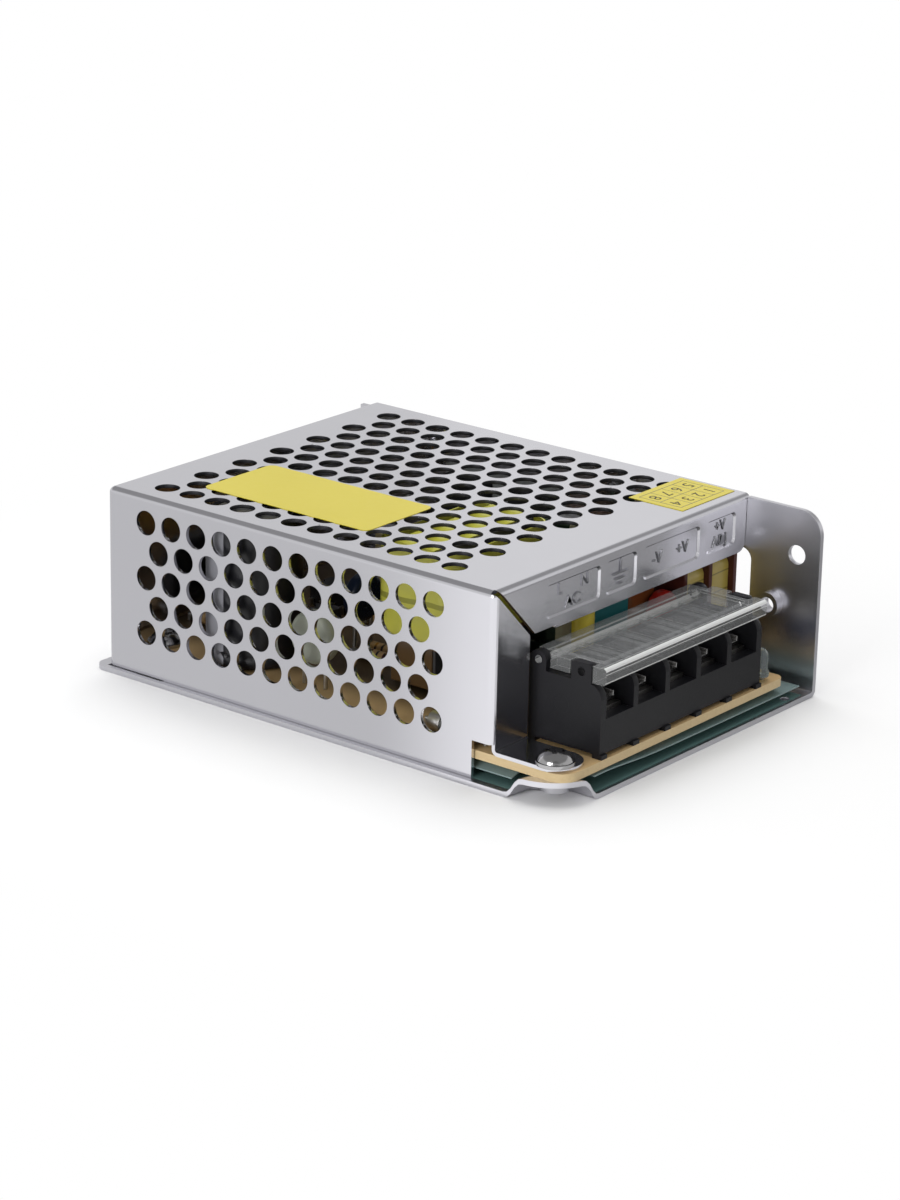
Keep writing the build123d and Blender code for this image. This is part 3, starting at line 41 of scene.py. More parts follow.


# ---- Chassis ------------------------------------------------------------------------------------
# The base and the far wall are one zinc-plated steel sheet of 1 mm, folded along the far edge.
# Its near front corner and three round pads are pressed up, and carry the circuit board. Under the
# board its floor is painted dark teal and dull, a painted reflection of the film above it.

class Wire:
    """A value or colour on its way through the nodes of one material."""

    def __init__(self, tree, socket):
        self.tree = tree
        self.socket = socket

    def node(self, kind, settings=None, values=None, out=0):
        """Adds any node: first its settings, then the values or links of its sockets."""
        made = self.tree.nodes.new(kind)
        for name, value in (settings or {}).items():
            if name == "stops":
                while len(made.color_ramp.elements) < len(value):
                    made.color_ramp.elements.new(1.0)
                for stop, (place, shade) in zip(made.color_ramp.elements, value):
                    stop.position = place
                    stop.color = (*shade, 1.0) if len(shade) == 3 else shade
            else:
                setattr(made, name, value)
        for name, value in (values or {}).items():
            if isinstance(value, Wire):
                self.tree.links.new(value.socket, made.inputs[name])
            else:
                made.inputs[name].default_value = value
        return Wire(self.tree, made.outputs[out])

    def maths(self, operation, *values):
        return self.node("ShaderNodeMath", {"operation": operation}, dict(enumerate(values)))

    def __add__(self, other):
        return self.maths("ADD", self, other)

    def __sub__(self, other):
        return self.maths("SUBTRACT", self, other)

    def __mul__(self, other):
        return self.maths("MULTIPLY", self, other)

    def __truediv__(self, other):
        return self.maths("DIVIDE", self, other)

    def __radd__(self, other):
        return self.maths("ADD", other, self)

    def __rsub__(self, other):
        return self.maths("SUBTRACT", other, self)

    def __rmul__(self, other):
        return self.maths("MULTIPLY", other, self)

    def __lt__(self, other):
        return self.maths("LESS_THAN", self, other)

    def __gt__(self, other):
        return self.maths("GREATER_THAN", self, other)

    def __abs__(self):
        return self.maths("ABSOLUTE", self)

    def fraction(self):
        return self.maths("FRACT", self)

    def root(self):
        return self.maths("SQRT", self)

    def highest(self, other):
        return self.maths("MAXIMUM", self, other)

    def axis(self, letter):
        return self.node("ShaderNodeSeparateXYZ", values={0: self}, out="XYZ".index(letter))

    def scaled(self, x, y, z):
        """The place, stretched by a factor along each axis."""
        return self.node("ShaderNodeMapping", values={"Vector": self, "Scale": (x, y, z)})

    def noise(self, scale, detail=2.0, roughness=0.5):
        """Soft noise between 0 and 1 over the place."""
        return self.node(
            "ShaderNodeTexNoise", {},
            {"Vector": self, "Scale": scale, "Detail": detail, "Roughness": roughness},
        )

    def between(self, low, high, start=0.0, end=1.0):
        """Runs softly from one value to another while this runs from start to end."""
        return self.node(
            "ShaderNodeMapRange", {"interpolation_type": "SMOOTHSTEP"},
            {"Value": self, "From Min": start, "From Max": end, "To Min": low, "To Max": high},
        )

    def ramp(self, *stops):
        """This share turned into a colour by a ramp."""
        return self.node("ShaderNodeValToRGB", {"stops": stops}, {0: self})

    def mix(self, first, second):
        """The first colour where this mask is 0, the second where it is 1."""
        def four(shade):
            return shade if isinstance(shade, Wire) else (*shade, 1.0)
        return self.node(
            "ShaderNodeMix", {"data_type": "RGBA"},
            {0: self, 6: four(first), 7: four(second)}, out=2,
        )


def start_finish(name, **constants):
    """A new material, the place on its piece in metres, and a function that wires its sockets."""
    material = bpy.data.materials.new(name)
    material.use_nodes = True
    tree = material.node_tree
    tree.nodes.clear()
    output = tree.nodes.new("ShaderNodeOutputMaterial")
    shader = tree.nodes.new("ShaderNodeBsdfPrincipled")
    tree.links.new(shader.outputs[0], output.inputs["Surface"])
    for socket, value in constants.items():
        shader.inputs[socket.replace("_", " ")].default_value = value
    place = Wire(tree, tree.nodes.new("ShaderNodeTexCoord").outputs["Object"])

    def wire(**values):
        for socket, value in values.items():
            tree.links.new(value.socket, shader.inputs[socket.replace("_", " ")])

    return material, place, wire


def raised(place, height, depth, strength):
    """A normal that shows a height from 0 to 1 as a relief of the given depth in metres."""
    return place.node(
        "ShaderNodeBump", {}, {"Height": height, "Distance": depth, "Strength": strength}
    )


def facing(place, letter):
    """How far the surface faces along one axis of its own piece, from -1 to 1."""
    return place.node("ShaderNodeTexCoord", out="Normal").axis(letter)


def sheet_steel(name, tint, along, dull=0.0, painted_film_reflection=False):
    """Zinc-plated sheet: satin, with faint rolling streaks along one direction and a few scuffs."""
    steel, place, wire = start_finish(name, Metallic=1.0, IOR=1.5)
    streaks = place.scaled(*along).noise(2600.0, 3.0, 0.6)
    cloud = place.noise(45.0, 3.0, 0.55)
    scuffs = place.scaled(1.0, 0.35, 1.0).noise(900.0, 4.0, 0.7)
    skin = cloud.mix([0.94 * c for c in tint], tint)
    # Painted reflection: on the floor under the board the steel is painted dark teal and made
    # non-metallic, standing in for the film mirrored there.
    if painted_film_reflection:
        painted_reflection_teal = (0.13, 0.235, 0.225)
        painted_reflection_x, painted_reflection_y = -0.001, -0.0022
        half_across, half_along, highest_floor = 0.0365, 0.0521, 0.0016
        floor_face = (facing(place, "Z") > 0.5) * (place.axis("Z") < highest_floor)
        under_board = (
            floor_face
            * (abs(place.axis("X") - painted_reflection_x) < half_across)
            * (abs(place.axis("Y") - painted_reflection_y) < half_along)
        )
        skin = under_board.mix(skin, painted_reflection_teal)
        wire(Metallic=1 - under_board)
    wire(
        Base_Color=skin,
        Roughness=0.13 + dull + streaks * 0.08 + cloud * 0.05 + (scuffs > 0.72) * 0.05,
        Normal=raised(place, streaks * 0.12 + place.noise(70.0, 2.0), 0.00004, 0.5),
    )
    return steel


def refined(node, name, edge=0.0, body="base", material=None):
    """A merged copy of a CAD node, its edges broken by a small bevel and its curves smooth."""
    join_distance, flat_angle, sharp_angle, smooth_angle = 0.000002, 0.2, 35.0, 32.0
    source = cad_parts[node]
    piece = source.copy()
    piece.data = source.data.copy()
    piece.name = name
    for key in list(piece.keys()):
        del piece[key]
    piece.parent = None
    piece.matrix_world = Matrix.Identity(4)
    bpy.context.scene.collection.objects.link(piece)
    bpy.ops.object.select_all(action="DESELECT")
    piece.select_set(True)
    bpy.context.view_layer.objects.active = piece
    bpy.ops.object.mode_set(mode="EDIT")
    bpy.ops.mesh.select_all(action="SELECT")
    bpy.ops.mesh.remove_doubles(threshold=join_distance)
    bpy.ops.mesh.dissolve_limited(
        angle_limit=math.radians(flat_angle), use_dissolve_boundaries=False
    )
    bpy.ops.object.mode_set(mode="OBJECT")
    if edge:
        bevel = piece.modifiers.new("edge", "BEVEL")
        bevel.width = edge
        bevel.segments = 2
        bevel.limit_method = "ANGLE"
        bevel.angle_limit = math.radians(sharp_angle)
        bpy.ops.object.modifier_apply(modifier=bevel.name)
    bpy.ops.object.shade_smooth_by_angle(angle=math.radians(smooth_angle))
    flat = piece.modifiers.new("flat", "WEIGHTED_NORMAL")
    flat.keep_sharp = True
    flat.weight = 100
    bpy.ops.object.modifier_apply(modifier=flat.name)
    piece.data.materials.clear()
    if material:
        piece.data.materials.append(material)
    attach(piece, body)
    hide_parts(node)
    piece.select_set(False)
    return piece


STEEL = (0.76, 0.755, 0.80)
base_steel = sheet_steel("base_sheet", STEEL, (0.06, 1.0, 1.0), 0.12, True)
chassis_sheet = refined("chassis", "chassis_sheet", 0.00012, material=base_steel)


# ---- Insulation film ----------------------------------------------------------------------------
# A translucent polyester film lies bowed between the base and the underside of the board.
# It is cut from flat stock, held only by the board, and looks grey-teal at its edges.

def clad(node, material):
    """Gives a CAD node its finish."""
    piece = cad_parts[node]
    piece.data.materials.clear()
    piece.data.materials.append(material)
    return piece


film, place, wire = start_finish("film", Roughness=0.16, IOR=1.5, Specular_IOR_Level=0.6)
haze = place.noise(60.0, 3.0)
wire(
    Base_Color=haze.mix((0.29, 0.41, 0.41), (0.37, 0.49, 0.49)),
    Alpha=haze * 0.10 + 0.80,
    Normal=raised(place, place.noise(90.0, 2.0), 0.0002, 0.4),
)
clad("insulation_film", film)


# ---- Circuit board ------------------------------------------------------------------------------
# Single-sided laminate of 1.6 mm in tan paper-based board, with a paler sawn edge.
# Screws clamp it to the pressed pads. The copper and the solder are on its underside.

laminate, place, wire = start_finish("laminate", IOR=1.5)
fibres = place.scaled(1.0, 0.2, 1.0).noise(1500.0, 4.0, 0.65)
blotches = place.noise(120.0, 3.0)
rim = abs(facing(place, "Z")) < 0.5
under = facing(place, "Z") < -0.5
tracks = place.scaled(1.0, 0.45, 1.0).noise(150.0, 1.0)
# Painted shade: away from its near side and its front edge, the top of the board is painted very
# dark brown, where the cover shades it.
shade = (
    place.axis("X").between(0.0, 1.0, -0.034, -0.020)
    * place.axis("Y").between(0.0, 1.0, -0.040, -0.034)
)
surface = rim.mix(
    shade.mix(
        blotches.mix((0.56, 0.38, 0.18), (0.72, 0.50, 0.25)),
        blotches.mix((0.055, 0.034, 0.016), (0.085, 0.055, 0.026)),
    ),
    fibres.mix((0.68, 0.50, 0.26), (0.88, 0.69, 0.40)),
)
wire(
    Base_Color=(under * (tracks > 0.5)).mix(surface, (0.10, 0.20, 0.08)),
    Roughness=0.42 + fibres * 0.16,
    Normal=raised(place, fibres, 0.00006, 0.5),
)
board = refined("circuit_board", "board_laminate", 0.00012, material=laminate)


# ---- Leads --------------------------------------------------------------------------------------
# Tinned copper wires of 0.8 mm, bent and pushed through the board, with solder at their feet.
# They carry every part that stands on the board.

tinned, place, wire = start_finish("tinned", Metallic=1.0)
dull = place.noise(900.0, 3.0)
wire(Base_Color=dull.mix((0.50, 0.49, 0.47), (0.70, 0.69, 0.66)), Roughness=0.28 + dull * 0.2)
refined("component_leads", "tinned_leads", material=tinned)


# ---- Transformer --------------------------------------------------------------------------------
# Two E-shaped ferrite halves close round a black bobbin with a wound and taped coil.
# A band of the same yellow polyester tape holds the halves together.

def ferrite_finish(name, shade):
    """Sintered ferrite: dull dark grey with fine pits."""
    ferrite, place, wire = start_finish(name, IOR=1.6)
    pits = place.noise(2200.0, 3.0, 0.7)
    wire(
        Base_Color=pits.mix([0.6 * c for c in shade], shade),
        Roughness=0.46 + pits * 0.2,
        Normal=raised(place, pits, 0.00005, 0.6),
    )
    return ferrite


def moulded(name, colour, gloss=0.42, grain=0.00003, **constants):
    """Moulded or dipped plastic: an even colour, a faint cloud, a fine pebble and uneven gloss."""
    plastic, place, wire = start_finish(name, IOR=1.48, **constants)
    cloud = place.noise(130.0, 3.0)
    pebble = place.noise(2400.0, 2.0, 0.6)
    wire(
        Base_Color=cloud.mix(
            [0.86 * c for c in colour], [min(1.0, 1.08 * c) for c in colour]
        ),
        Roughness=gloss + cloud * 0.10 + pebble * 0.06,
        Normal=raised(place, pebble, grain, 0.6),
    )
    return plastic


def wound_tape(name, colour, pitch, foot=0.0):
    """Glossy polyester tape with a dark line at each overlap, over brown paper below a height."""
    tape, place, wire = start_finish(name, IOR=1.55, Coat_Weight=0.4, Coat_Roughness=0.1)
    level = (place.axis("Z") / pitch + place.noise(60.0, 1.0) * 0.25).fraction()
    seam = level < 0.08
    film_tone = place.noise(300.0, 3.0).mix([0.84 * c for c in colour], colour)
    turns = seam.mix(film_tone, [0.5 * c for c in colour])
    brown_paper = (0.12, 0.065, 0.022)
    wire(
        Base_Color=(place.axis("Z") < foot).mix(turns, brown_paper),
        Roughness=0.24 + place.noise(500.0) * 0.14,
        Normal=raised(place, level, 0.00012, 0.5),
    )
    return tape


dark_ferrite = ferrite_finish("ferrite", (0.075, 0.073, 0.078))
core = refined("transformer_core", "transformer_ferrite", 0.0003, material=dark_ferrite)
black_bobbin = moulded("bobbin_plastic", (0.028, 0.026, 0.028), 0.40)
clad("transformer_bobbin", black_bobbin)
paper_top = 0.0160
yellow_tape = wound_tape("yellow_tape", (0.68, 0.66, 0.08), 0.0042, paper_top)
coil = refined("transformer_winding", "transformer_coil", material=yellow_tape)
clad("transformer_band", yellow_tape)
jacket_tape = wound_tape("jacket_tape", (0.84, 0.82, 0.12), 0.0122, paper_top)
refined("transformer_jacket", "transformer_wrap", material=jacket_tape)


# ---- Electrolytic capacitors --------------------------------------------------------------------
# Rolled aluminium cans in a shrunk printed sleeve, with a groove near the foot and a scored top.
# One large can smooths the mains, three the output, and two small ones serve the control.

def sleeved_can(name, centres, radius, top, sleeve, stripe, toward):
    """A can: bare metal inside its top's rim, a dark sleeve, and a pale stripe down one side."""
    can, place, wire = start_finish(name)
    across, along, up = place.axis("X"), place.axis("Y"), place.axis("Z")
    stripes = None
    lids = None
    for x, y in centres:
        from_x, from_y = across - x, along - y
        distance = (from_x * from_x + from_y * from_y).root()
        near = distance < radius * 1.1
        side = (from_x * math.cos(toward) + from_y * math.sin(toward)) > radius * 0.89
        top_face = (distance < radius * 0.80) * (up > top - 0.0006)
        stripes = near * side if stripes is None else stripes + near * side
        lids = top_face if lids is None else lids + top_face
    cloud = place.noise(200.0, 3.0)
    ink = stripes.mix(sleeve, stripe)
    wire(
        Base_Color=lids.mix(ink, (0.72, 0.72, 0.74)),
        Metallic=lids * 0.9,
        Roughness=0.24 + cloud * 0.16,
        Normal=raised(place, place.noise(700.0, 2.0), 0.00002, 0.5),
    )
    return can


mm = 0.001
bulk = refined(
    "bulk_capacitor", "bulk_can",
    material=sleeved_can(
        "bulk_sleeve", [(-26.6 * mm, 26.0 * mm)], 9.0 * mm, 34.4 * mm,
        (0.010, 0.010, 0.013), (0.30, 0.30, 0.33), math.radians(155),
    ),
)
outputs = refined(
    "output_capacitors", "output_cans",
    material=sleeved_can(
        "output_sleeve",
        [(13.6 * mm, -12.6 * mm), (13.6 * mm, -1.4 * mm), (24.6 * mm, -7.0 * mm)],
        5.0 * mm, 28.4 * mm, (0.030, 0.055, 0.035), (0.62, 0.60, 0.40), math.radians(250),
    ),
)
small = refined(
    "small_capacitors", "small_cans",
    material=sleeved_can(
        "small_sleeve", [(21.5 * mm, 25.5 * mm), (21.5 * mm, 33.0 * mm)],
        3.15 * mm, 17.9 * mm, (0.030, 0.026, 0.022), (0.66, 0.56, 0.30), math.radians(160),
    ),
)


# ---- Film capacitors and discs ------------------------------------------------------------------
# The interference capacitor sits in a teal case on two feet. The others are dipped in lacquer,
# which pulls in to a soft edge: brown film, red surge disc, pale grey-green thermistor and dark
# blue safety disc.

for node, piece_name, slot, colour, gloss, edge in (
    ("film_capacitor", "film_case", "teal_case", (0.010, 0.150, 0.165), 0.30, 0.0004),
    ("dipped_capacitor", "brown_dip", "brown_dip", (0.34, 0.105, 0.030), 0.16, 0.0),
    ("surge_disc", "red_disc", "red_dip", (0.52, 0.022, 0.016), 0.20, 0.0),
    ("inrush_disc", "green_disc", "green_dip", (0.38, 0.40, 0.33), 0.34, 0.0),
    ("safety_capacitor", "blue_disc", "blue_dip", (0.010, 0.017, 0.038), 0.20, 0.0),
):
    piece = refined(node, piece_name, edge, material=moulded(piece_name, colour, gloss, 0.00004))


# ---- Chokes -------------------------------------------------------------------------------------
# The line choke is a ferrite rod in a flanged bobbin with two taped coils. The output choke is
# a painted powder ring with a winding of heavy enamelled copper wire.

refined("choke_core", "choke_ferrite", 0.0002, material=dark_ferrite)
red_bobbin = moulded("choke_plastic", (0.085, 0.018, 0.012), 0.36)
refined("choke_bobbin", "choke_flanges", 0.0002, material=red_bobbin)
choke_tape = wound_tape("choke_tape", (0.70, 0.54, 0.12), 0.0036)
refined("choke_windings", "choke_coils", material=choke_tape)
ring_paint = moulded("ring_paint", (0.62, 0.52, 0.08), 0.34, 0.00006)
refined("toroid_core", "powder_ring", 0.0005, material=ring_paint)
enamel, place, wire = start_finish("enamel", Metallic=0.85, Coat_Weight=0.8, Coat_Roughness=0.08)
shade = place.noise(500.0, 2.0)
wire(Base_Color=shade.mix((0.50, 0.17, 0.045), (0.66, 0.27, 0.08)), Roughness=0.22 + shade * 0.1)
refined("toroid_winding", "copper_turns", 0.00022, material=enamel)


# ---- Power semiconductors -----------------------------------------------------------------------
# Two insulated packages are pressed against the wall by one steel bar and a screw, over a grey
# silicone sheet, which carries their heat into the chassis. The bridge stands by the back.

epoxy = moulded("black_epoxy", (0.022, 0.022, 0.024), 0.44, 0.00005)
for node, piece_name in (
    ("power_transistor", "transistor_body"),
    ("output_rectifier", "rectifier_body"),
    ("bridge_rectifier", "bridge_body"),
    ("control_chip", "chip_body"),
    ("optocoupler", "coupler_body"),
):
    refined(node, piece_name, 0.00015, material=epoxy)
clad("silicone_sheet", moulded("silicone", (0.42, 0.44, 0.45), 0.62, 0.00008))
bar_steel = sheet_steel("bar_sheet", (0.66, 0.66, 0.67), (1.0, 0.06, 1.0))
refined("clamp_bar", "clamp_strip", 0.00025, material=bar_steel)


# ---- Resistors and fuse -------------------------------------------------------------------------
# Lacquered resistors with colour bands lie on the board by their wires. The fuse is a glass
# tube between two nickel-plated caps, wired in beside the near edge.

lacquer, place, wire = start_finish("resistor_lacquer", IOR=1.5, Coat_Weight=0.5)
along = place.axis("Y")
ground = (0.46, 0.30, 0.14)
ring_pitch = 1.55
rings = (along * 1000.0 / ring_pitch).fraction()
hue = place.noise(310.0, 0.0).ramp(
    (0.0, (0.25, 0.02, 0.01)), (0.5, (0.02, 0.02, 0.02)), (0.7, (0.35, 0.16, 0.01))
)
wire(
    Base_Color=(rings < 0.30).mix(ground, hue),
    Roughness=0.26 + place.noise(900.0) * 0.12,
)
refined("resistors", "resistor_bodies", material=lacquer)
glass, place, wire = start_finish("fuse_glass", IOR=1.5, Transmission_Weight=0.9)
wire(
    Base_Color=place.noise(300.0).mix((0.90, 0.94, 0.93), (0.97, 0.99, 0.98)),
    Roughness=0.03 + place.noise(400.0) * 0.04,
)
refined("fuse_tube", "fuse_glass_tube", material=glass)
sleeve_yellow = moulded("resistor_sleeve", (0.62, 0.50, 0.05), 0.28)
refined("upright_resistor", "sleeved_resistor", material=sleeve_yellow)
refined("fuse_caps", "fuse_end_caps", 0.0001, material=tinned)


# ---- Voltage trimmer and lamp -------------------------------------------------------------------
# A square trimmer with a white cross-slotted rotor sets the output voltage, beside the far end
# of the terminals. In front of it stands a clear round lamp with a collar.

trimmer_blue = moulded("trimmer_plastic", (0.010, 0.030, 0.11), 0.34)
refined("trimmer_body", "trimmer_case", 0.0002, material=trimmer_blue)
rotor_white = moulded("rotor_plastic", (0.80, 0.79, 0.74), 0.36)
refined("trimmer_rotor", "trimmer_dial", 0.00015, "rotor", rotor_white)
lens, place, wire = start_finish("lamp_lens", IOR=1.5, Transmission_Weight=0.8, Coat_Weight=0.3)
wire(
    Base_Color=place.noise(400.0).mix((0.45, 0.52, 0.48), (0.60, 0.66, 0.62)),
    Roughness=0.09 + place.noise(700.0) * 0.05,
)
refined("indicator_led", "lamp_dome", 0.0001, material=lens)


# ---- Terminal block -----------------------------------------------------------------------------
# A black moulded barrier block with five cells. Tinned contacts lie in the cells, each with a
# square clamp washer and a screw. Twelve small feet keep its body 0.8 mm off the board.

housing_black, place, wire = start_finish("block_plastic", IOR=1.5, Specular_IOR_Level=0.3)
pebble = place.noise(2600.0, 3.0, 0.6)
cloud = place.noise(90.0, 3.0)
ring_radius, ring_line, near_face = 0.0015, 0.00016, -0.0262
ring_y, ring_z = place.axis("Y") + 0.0446, place.axis("Z") - 0.0143
ring = (ring_y * ring_y + ring_z * ring_z).root() - ring_radius
mould_ring = (abs(ring) < ring_line) * (place.axis("X") < near_face)
wire(
    Base_Color=cloud.mix((0.006, 0.006, 0.008), (0.010, 0.010, 0.0125)),
    Roughness=0.36 + cloud * 0.12 + pebble * 0.08,
    Normal=raised(place, pebble * 0.7 - mould_ring * 1.2, 0.00005, 0.6),
)
housing = refined("terminal_housing", "block_moulding", 0.00018, material=housing_black)


def plated(name, tint, rough):
    """Nickel or tin over brass or steel: bright, with a faint cloud and fine handling marks."""
    metal, place, wire = start_finish(name, Metallic=1.0)
    cloud = place.noise(420.0, 3.0)
    marks = place.scaled(1.0, 0.2, 1.0).noise(3200.0, 3.0, 0.7)
    wire(
        Base_Color=cloud.mix([0.82 * c for c in tint], tint),
        Roughness=rough + cloud * 0.10 + marks * 0.08,
        Normal=raised(place, marks, 0.00002, 0.5),
    )
    return metal


tin = plated("contact_tin", (0.40, 0.39, 0.37), 0.20)
refined("terminal_contacts", "contact_strips", 0.0001, material=tin)
washer_plate = plated("washer_plate", (0.44, 0.435, 0.43), 0.14)
refined("clamp_washers", "washer_plates", 0.00014, material=washer_plate)
nickel = plated("screw_nickel", (0.52, 0.51, 0.50), 0.12)
for n in range(1, 6):
    screw = refined(f"terminal_screw_{n}", f"slot_screw_{n}", 0.00012, f"screw_{n}", nickel)


# ---- Terminal lid -------------------------------------------------------------------------------
# A clear moulded lid turns on two pins in the round ears of the block. It has a thick fluted
# grip along its front, a rim round its sunk middle, and pairs of ribs over the dividers.

clear, place, wire = start_finish("lid_clear", IOR=1.49, Specular_IOR_Level=1.0)
haze = place.noise(160.0, 3.0)
scratches = place.scaled(0.08, 1.0, 1.0).noise(1500.0, 4.0, 0.75)
flat_way = abs(facing(place, "Z"))
flat_way = flat_way.highest(abs(facing(place, "Y"))).highest(abs(facing(place, "X")))
# Painted highlight: the rounded edges of the lid are painted near white and made nearly opaque,
# standing in for the light they catch.
soft_edge = flat_way < 0.97
upright = abs(facing(place, "Z")) < 0.5
rim_top = place.axis("Z") > 0.0226
smoke = haze.mix((0.26, 0.27, 0.27), (0.36, 0.37, 0.37))
painted_edge_highlight = (0.92, 0.93, 0.92)
skin = 0.20 + upright * 0.06 + soft_edge * 0.58 + rim_top * 0.06
wire(
    Base_Color=soft_edge.mix(smoke, painted_edge_highlight),
    Roughness=0.03 + haze * 0.04 + (scratches > 0.66) * 0.14,
    Alpha=skin + (scratches > 0.70) * 0.08 + haze * 0.04,
)
lid = refined("terminal_lid", "lid_moulding", 0.00017, "lid", clear)


# ---- Cover --------------------------------------------------------------------------------------
# One sheet of 0.7 mm, punched with staggered round holes and folded into top, near side, back,
# front lip and front flange, with a mitred gap between the last two and a foot on the board.

cover_steel = sheet_steel("cover_sheet", STEEL, (1.0, 0.06, 1.0))
cover = refined("cover", "cover_shell", 0.00011, material=cover_steel)
lip_front = -0.0385
plate_depth = 0.00025
plate_slope = 0.00035
plate_push = 0.00010
plate_low, plate_high = 0.0273, 0.0336
margin, same_plane = 0.0002, 0.00006
bpy.context.view_layer.objects.active = cover
cover.select_set(True)
for low, high in ((-0.0233, -0.0075), (-0.0058, 0.0034), (0.0055, 0.0230), (0.0251, 0.0345)):
    bpy.ops.object.mode_set(mode="EDIT")
    bpy.ops.mesh.select_mode(type="VERT")
    bpy.ops.mesh.select_all(action="DESELECT")
    bpy.ops.object.mode_set(mode="OBJECT")
    for corner in cover.data.vertices:
        x, y, z = corner.co
        corner.select = (
            low - margin < x < high + margin
            and plate_low - margin < z < plate_high + margin
            and abs(y - lip_front - plate_depth) < same_plane
        )
    bpy.ops.object.mode_set(mode="EDIT")
    bpy.ops.transform.resize(
        value=(
            1 - 2 * plate_slope / (high - low),
            1.0,
            1 - 2 * plate_slope / (plate_high - plate_low),
        ),
        center_override=((low + high) / 2, 0.0, (plate_low + plate_high) / 2),
    )
    bpy.ops.transform.translate(value=(0.0, plate_push, 0.0))
    bpy.ops.object.mode_set(mode="OBJECT")
bpy.ops.mesh.customdata_custom_splitnormals_clear()
bpy.ops.object.shade_smooth_by_angle(angle=math.radians(25))
flat = cover.modifiers.new("flat", "WEIGHTED_NORMAL")
flat.keep_sharp = True
flat.weight = 100
bpy.ops.object.modifier_apply(modifier=flat.name)
cover.select_set(False)
# Painted shade: the walls of the holes and the cut edges of the top and the near side are painted
# near black, standing in for the shade inside the holes.
cut_steel_painted_shade, place, wire = start_finish("cut_edge_painted_shade", Metallic=1.0)
shear = place.noise(1800.0, 3.0, 0.7)
wire(Base_Color=shear.mix((0.05, 0.05, 0.055), (0.10, 0.10, 0.11)), Roughness=0.42 + shear * 0.2)
cover.data.materials.append(cut_steel_painted_shade)
cut_material, painted_shade_index = 1, 2
top_floor, top_skin, side_skin, side_floor = 35.35 * mm, 35.95 * mm, -38.95 * mm, -38.35 * mm
slope_front, slope_back = 0.00002, 0.00033
# Painted shade: the slopes of the plates that face down or towards the far end, and all the raised
# marks, are painted in this darker steel, standing in for the shade on them.
painted_shade_steel, place, wire = start_finish("pressed_edge_painted_shade", Metallic=1.0)
painted_shade_tone = place.noise(700.0, 3.0)
wire(Base_Color=painted_shade_tone.mix((0.30, 0.30, 0.32), (0.40, 0.40, 0.42)), Roughness=0.2 + painted_shade_tone * 0.1)
cover.data.materials.append(painted_shade_steel)
for face in cover.data.polygons:
    in_top = top_floor < face.center.z < top_skin and abs(face.normal.z) < 0.3
    in_side = side_skin < face.center.x < side_floor and abs(face.normal.x) < 0.3
    in_plate = (
        plate_low - margin < face.center.z < plate_high + margin
        and lip_front + slope_front < face.center.y < lip_front + slope_back
    )
    if in_top or in_side:
        face.material_index = cut_material
    elif in_plate and (face.normal.z < -0.2 or face.normal.x > 0.2):
        face.material_index = painted_shade_index


# ---- Marks on the lip ---------------------------------------------------------------------------
# Plain terminal marks are pressed outwards in the sunk plates of the lip, above their terminals:
# live and neutral, earth, minus and plus, and the trimmer.

mark_back = -0.03826


def pressed_mark(name, text, size, x, z, stretch=1.0):
    """A raised mark in the front of the lip, with soft edges, as the press leaves it."""
    bpy.ops.object.text_add()
    letters = bpy.context.object
    letters.data.body = text
    letters.data.size = size
    letters.data.align_x = "CENTER"
    letters.data.align_y = "CENTER"
    letters.data.extrude = 0.0
    letters.data.bevel_depth = 0.00016
    letters.data.bevel_resolution = 2
    letters.data.offset = -0.00013
    letters.data.resolution_u = 6
    letters.name = name
    bpy.ops.object.convert(target="MESH")
    letters = bpy.context.object
    letters.data.transform(
        Matrix.Translation((x, mark_back, z))
        @ Matrix.Rotation(math.radians(90), 4, "X")
        @ Matrix.Diagonal((stretch, 1.0, 1.0, 1.0))
    )
    # The mark is painted in the darker steel, a painted shade.
    letters.data.materials.append(painted_shade_steel)
    bpy.ops.object.shade_smooth_by_angle(angle=math.radians(40))
    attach(letters, "base")
    letters.select_set(False)


plate_middle = 30.45 * mm
pressed_mark("mark_live_neutral", "L      N", 3.1 * mm, -15.2 * mm, plate_middle + 1.45 * mm)
pressed_mark("mark_mains", "AC", 3.0 * mm, -15.2 * mm, plate_middle - 1.45 * mm, 1.15)
pressed_mark("mark_minus_plus", "-V     +V", 3.2 * mm, 14.2 * mm, plate_middle)
pressed_mark("mark_trim_plus", "+V", 2.9 * mm, 29.8 * mm, plate_middle + 1.4 * mm)
pressed_mark("mark_trim", "ADJ", 2.9 * mm, 29.8 * mm, plate_middle - 1.45 * mm)

bpy.ops.mesh.primitive_cube_add(size=1.0)
earth = bpy.context.object
earth.name = "mark_earth"
bpy.ops.object.mode_set(mode="EDIT")
bpy.ops.mesh.delete(type="VERT")
stroke, bar_depth = 0.35, 0.28
for width, tall, drop in (
    (stroke, 2.6, -1.4), (4.6, stroke, 0.0), (3.1, stroke, 1.0), (1.6, stroke, 2.0),
):
    bar_middle = (-1.2 * mm, -38.32 * mm, plate_middle + 0.2 * mm - drop * mm)
    bpy.ops.mesh.select_all(action="DESELECT")
    bpy.ops.mesh.primitive_cube_add(size=1.0, location=bar_middle)
    bpy.ops.transform.resize(
        value=(width * mm, bar_depth * mm, tall * mm), center_override=bar_middle
    )
bpy.ops.object.mode_set(mode="OBJECT")
bevel = earth.modifiers.new("edge", "BEVEL")
bevel.width = 0.0001
bevel.segments = 2
bpy.ops.object.modifier_apply(modifier=bevel.name)
bpy.ops.object.shade_smooth_by_angle(angle=math.radians(40))
# The earth mark is painted in the darker steel, a painted shade.
earth.data.materials.append(painted_shade_steel)
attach(earth, "base")
earth.select_set(False)


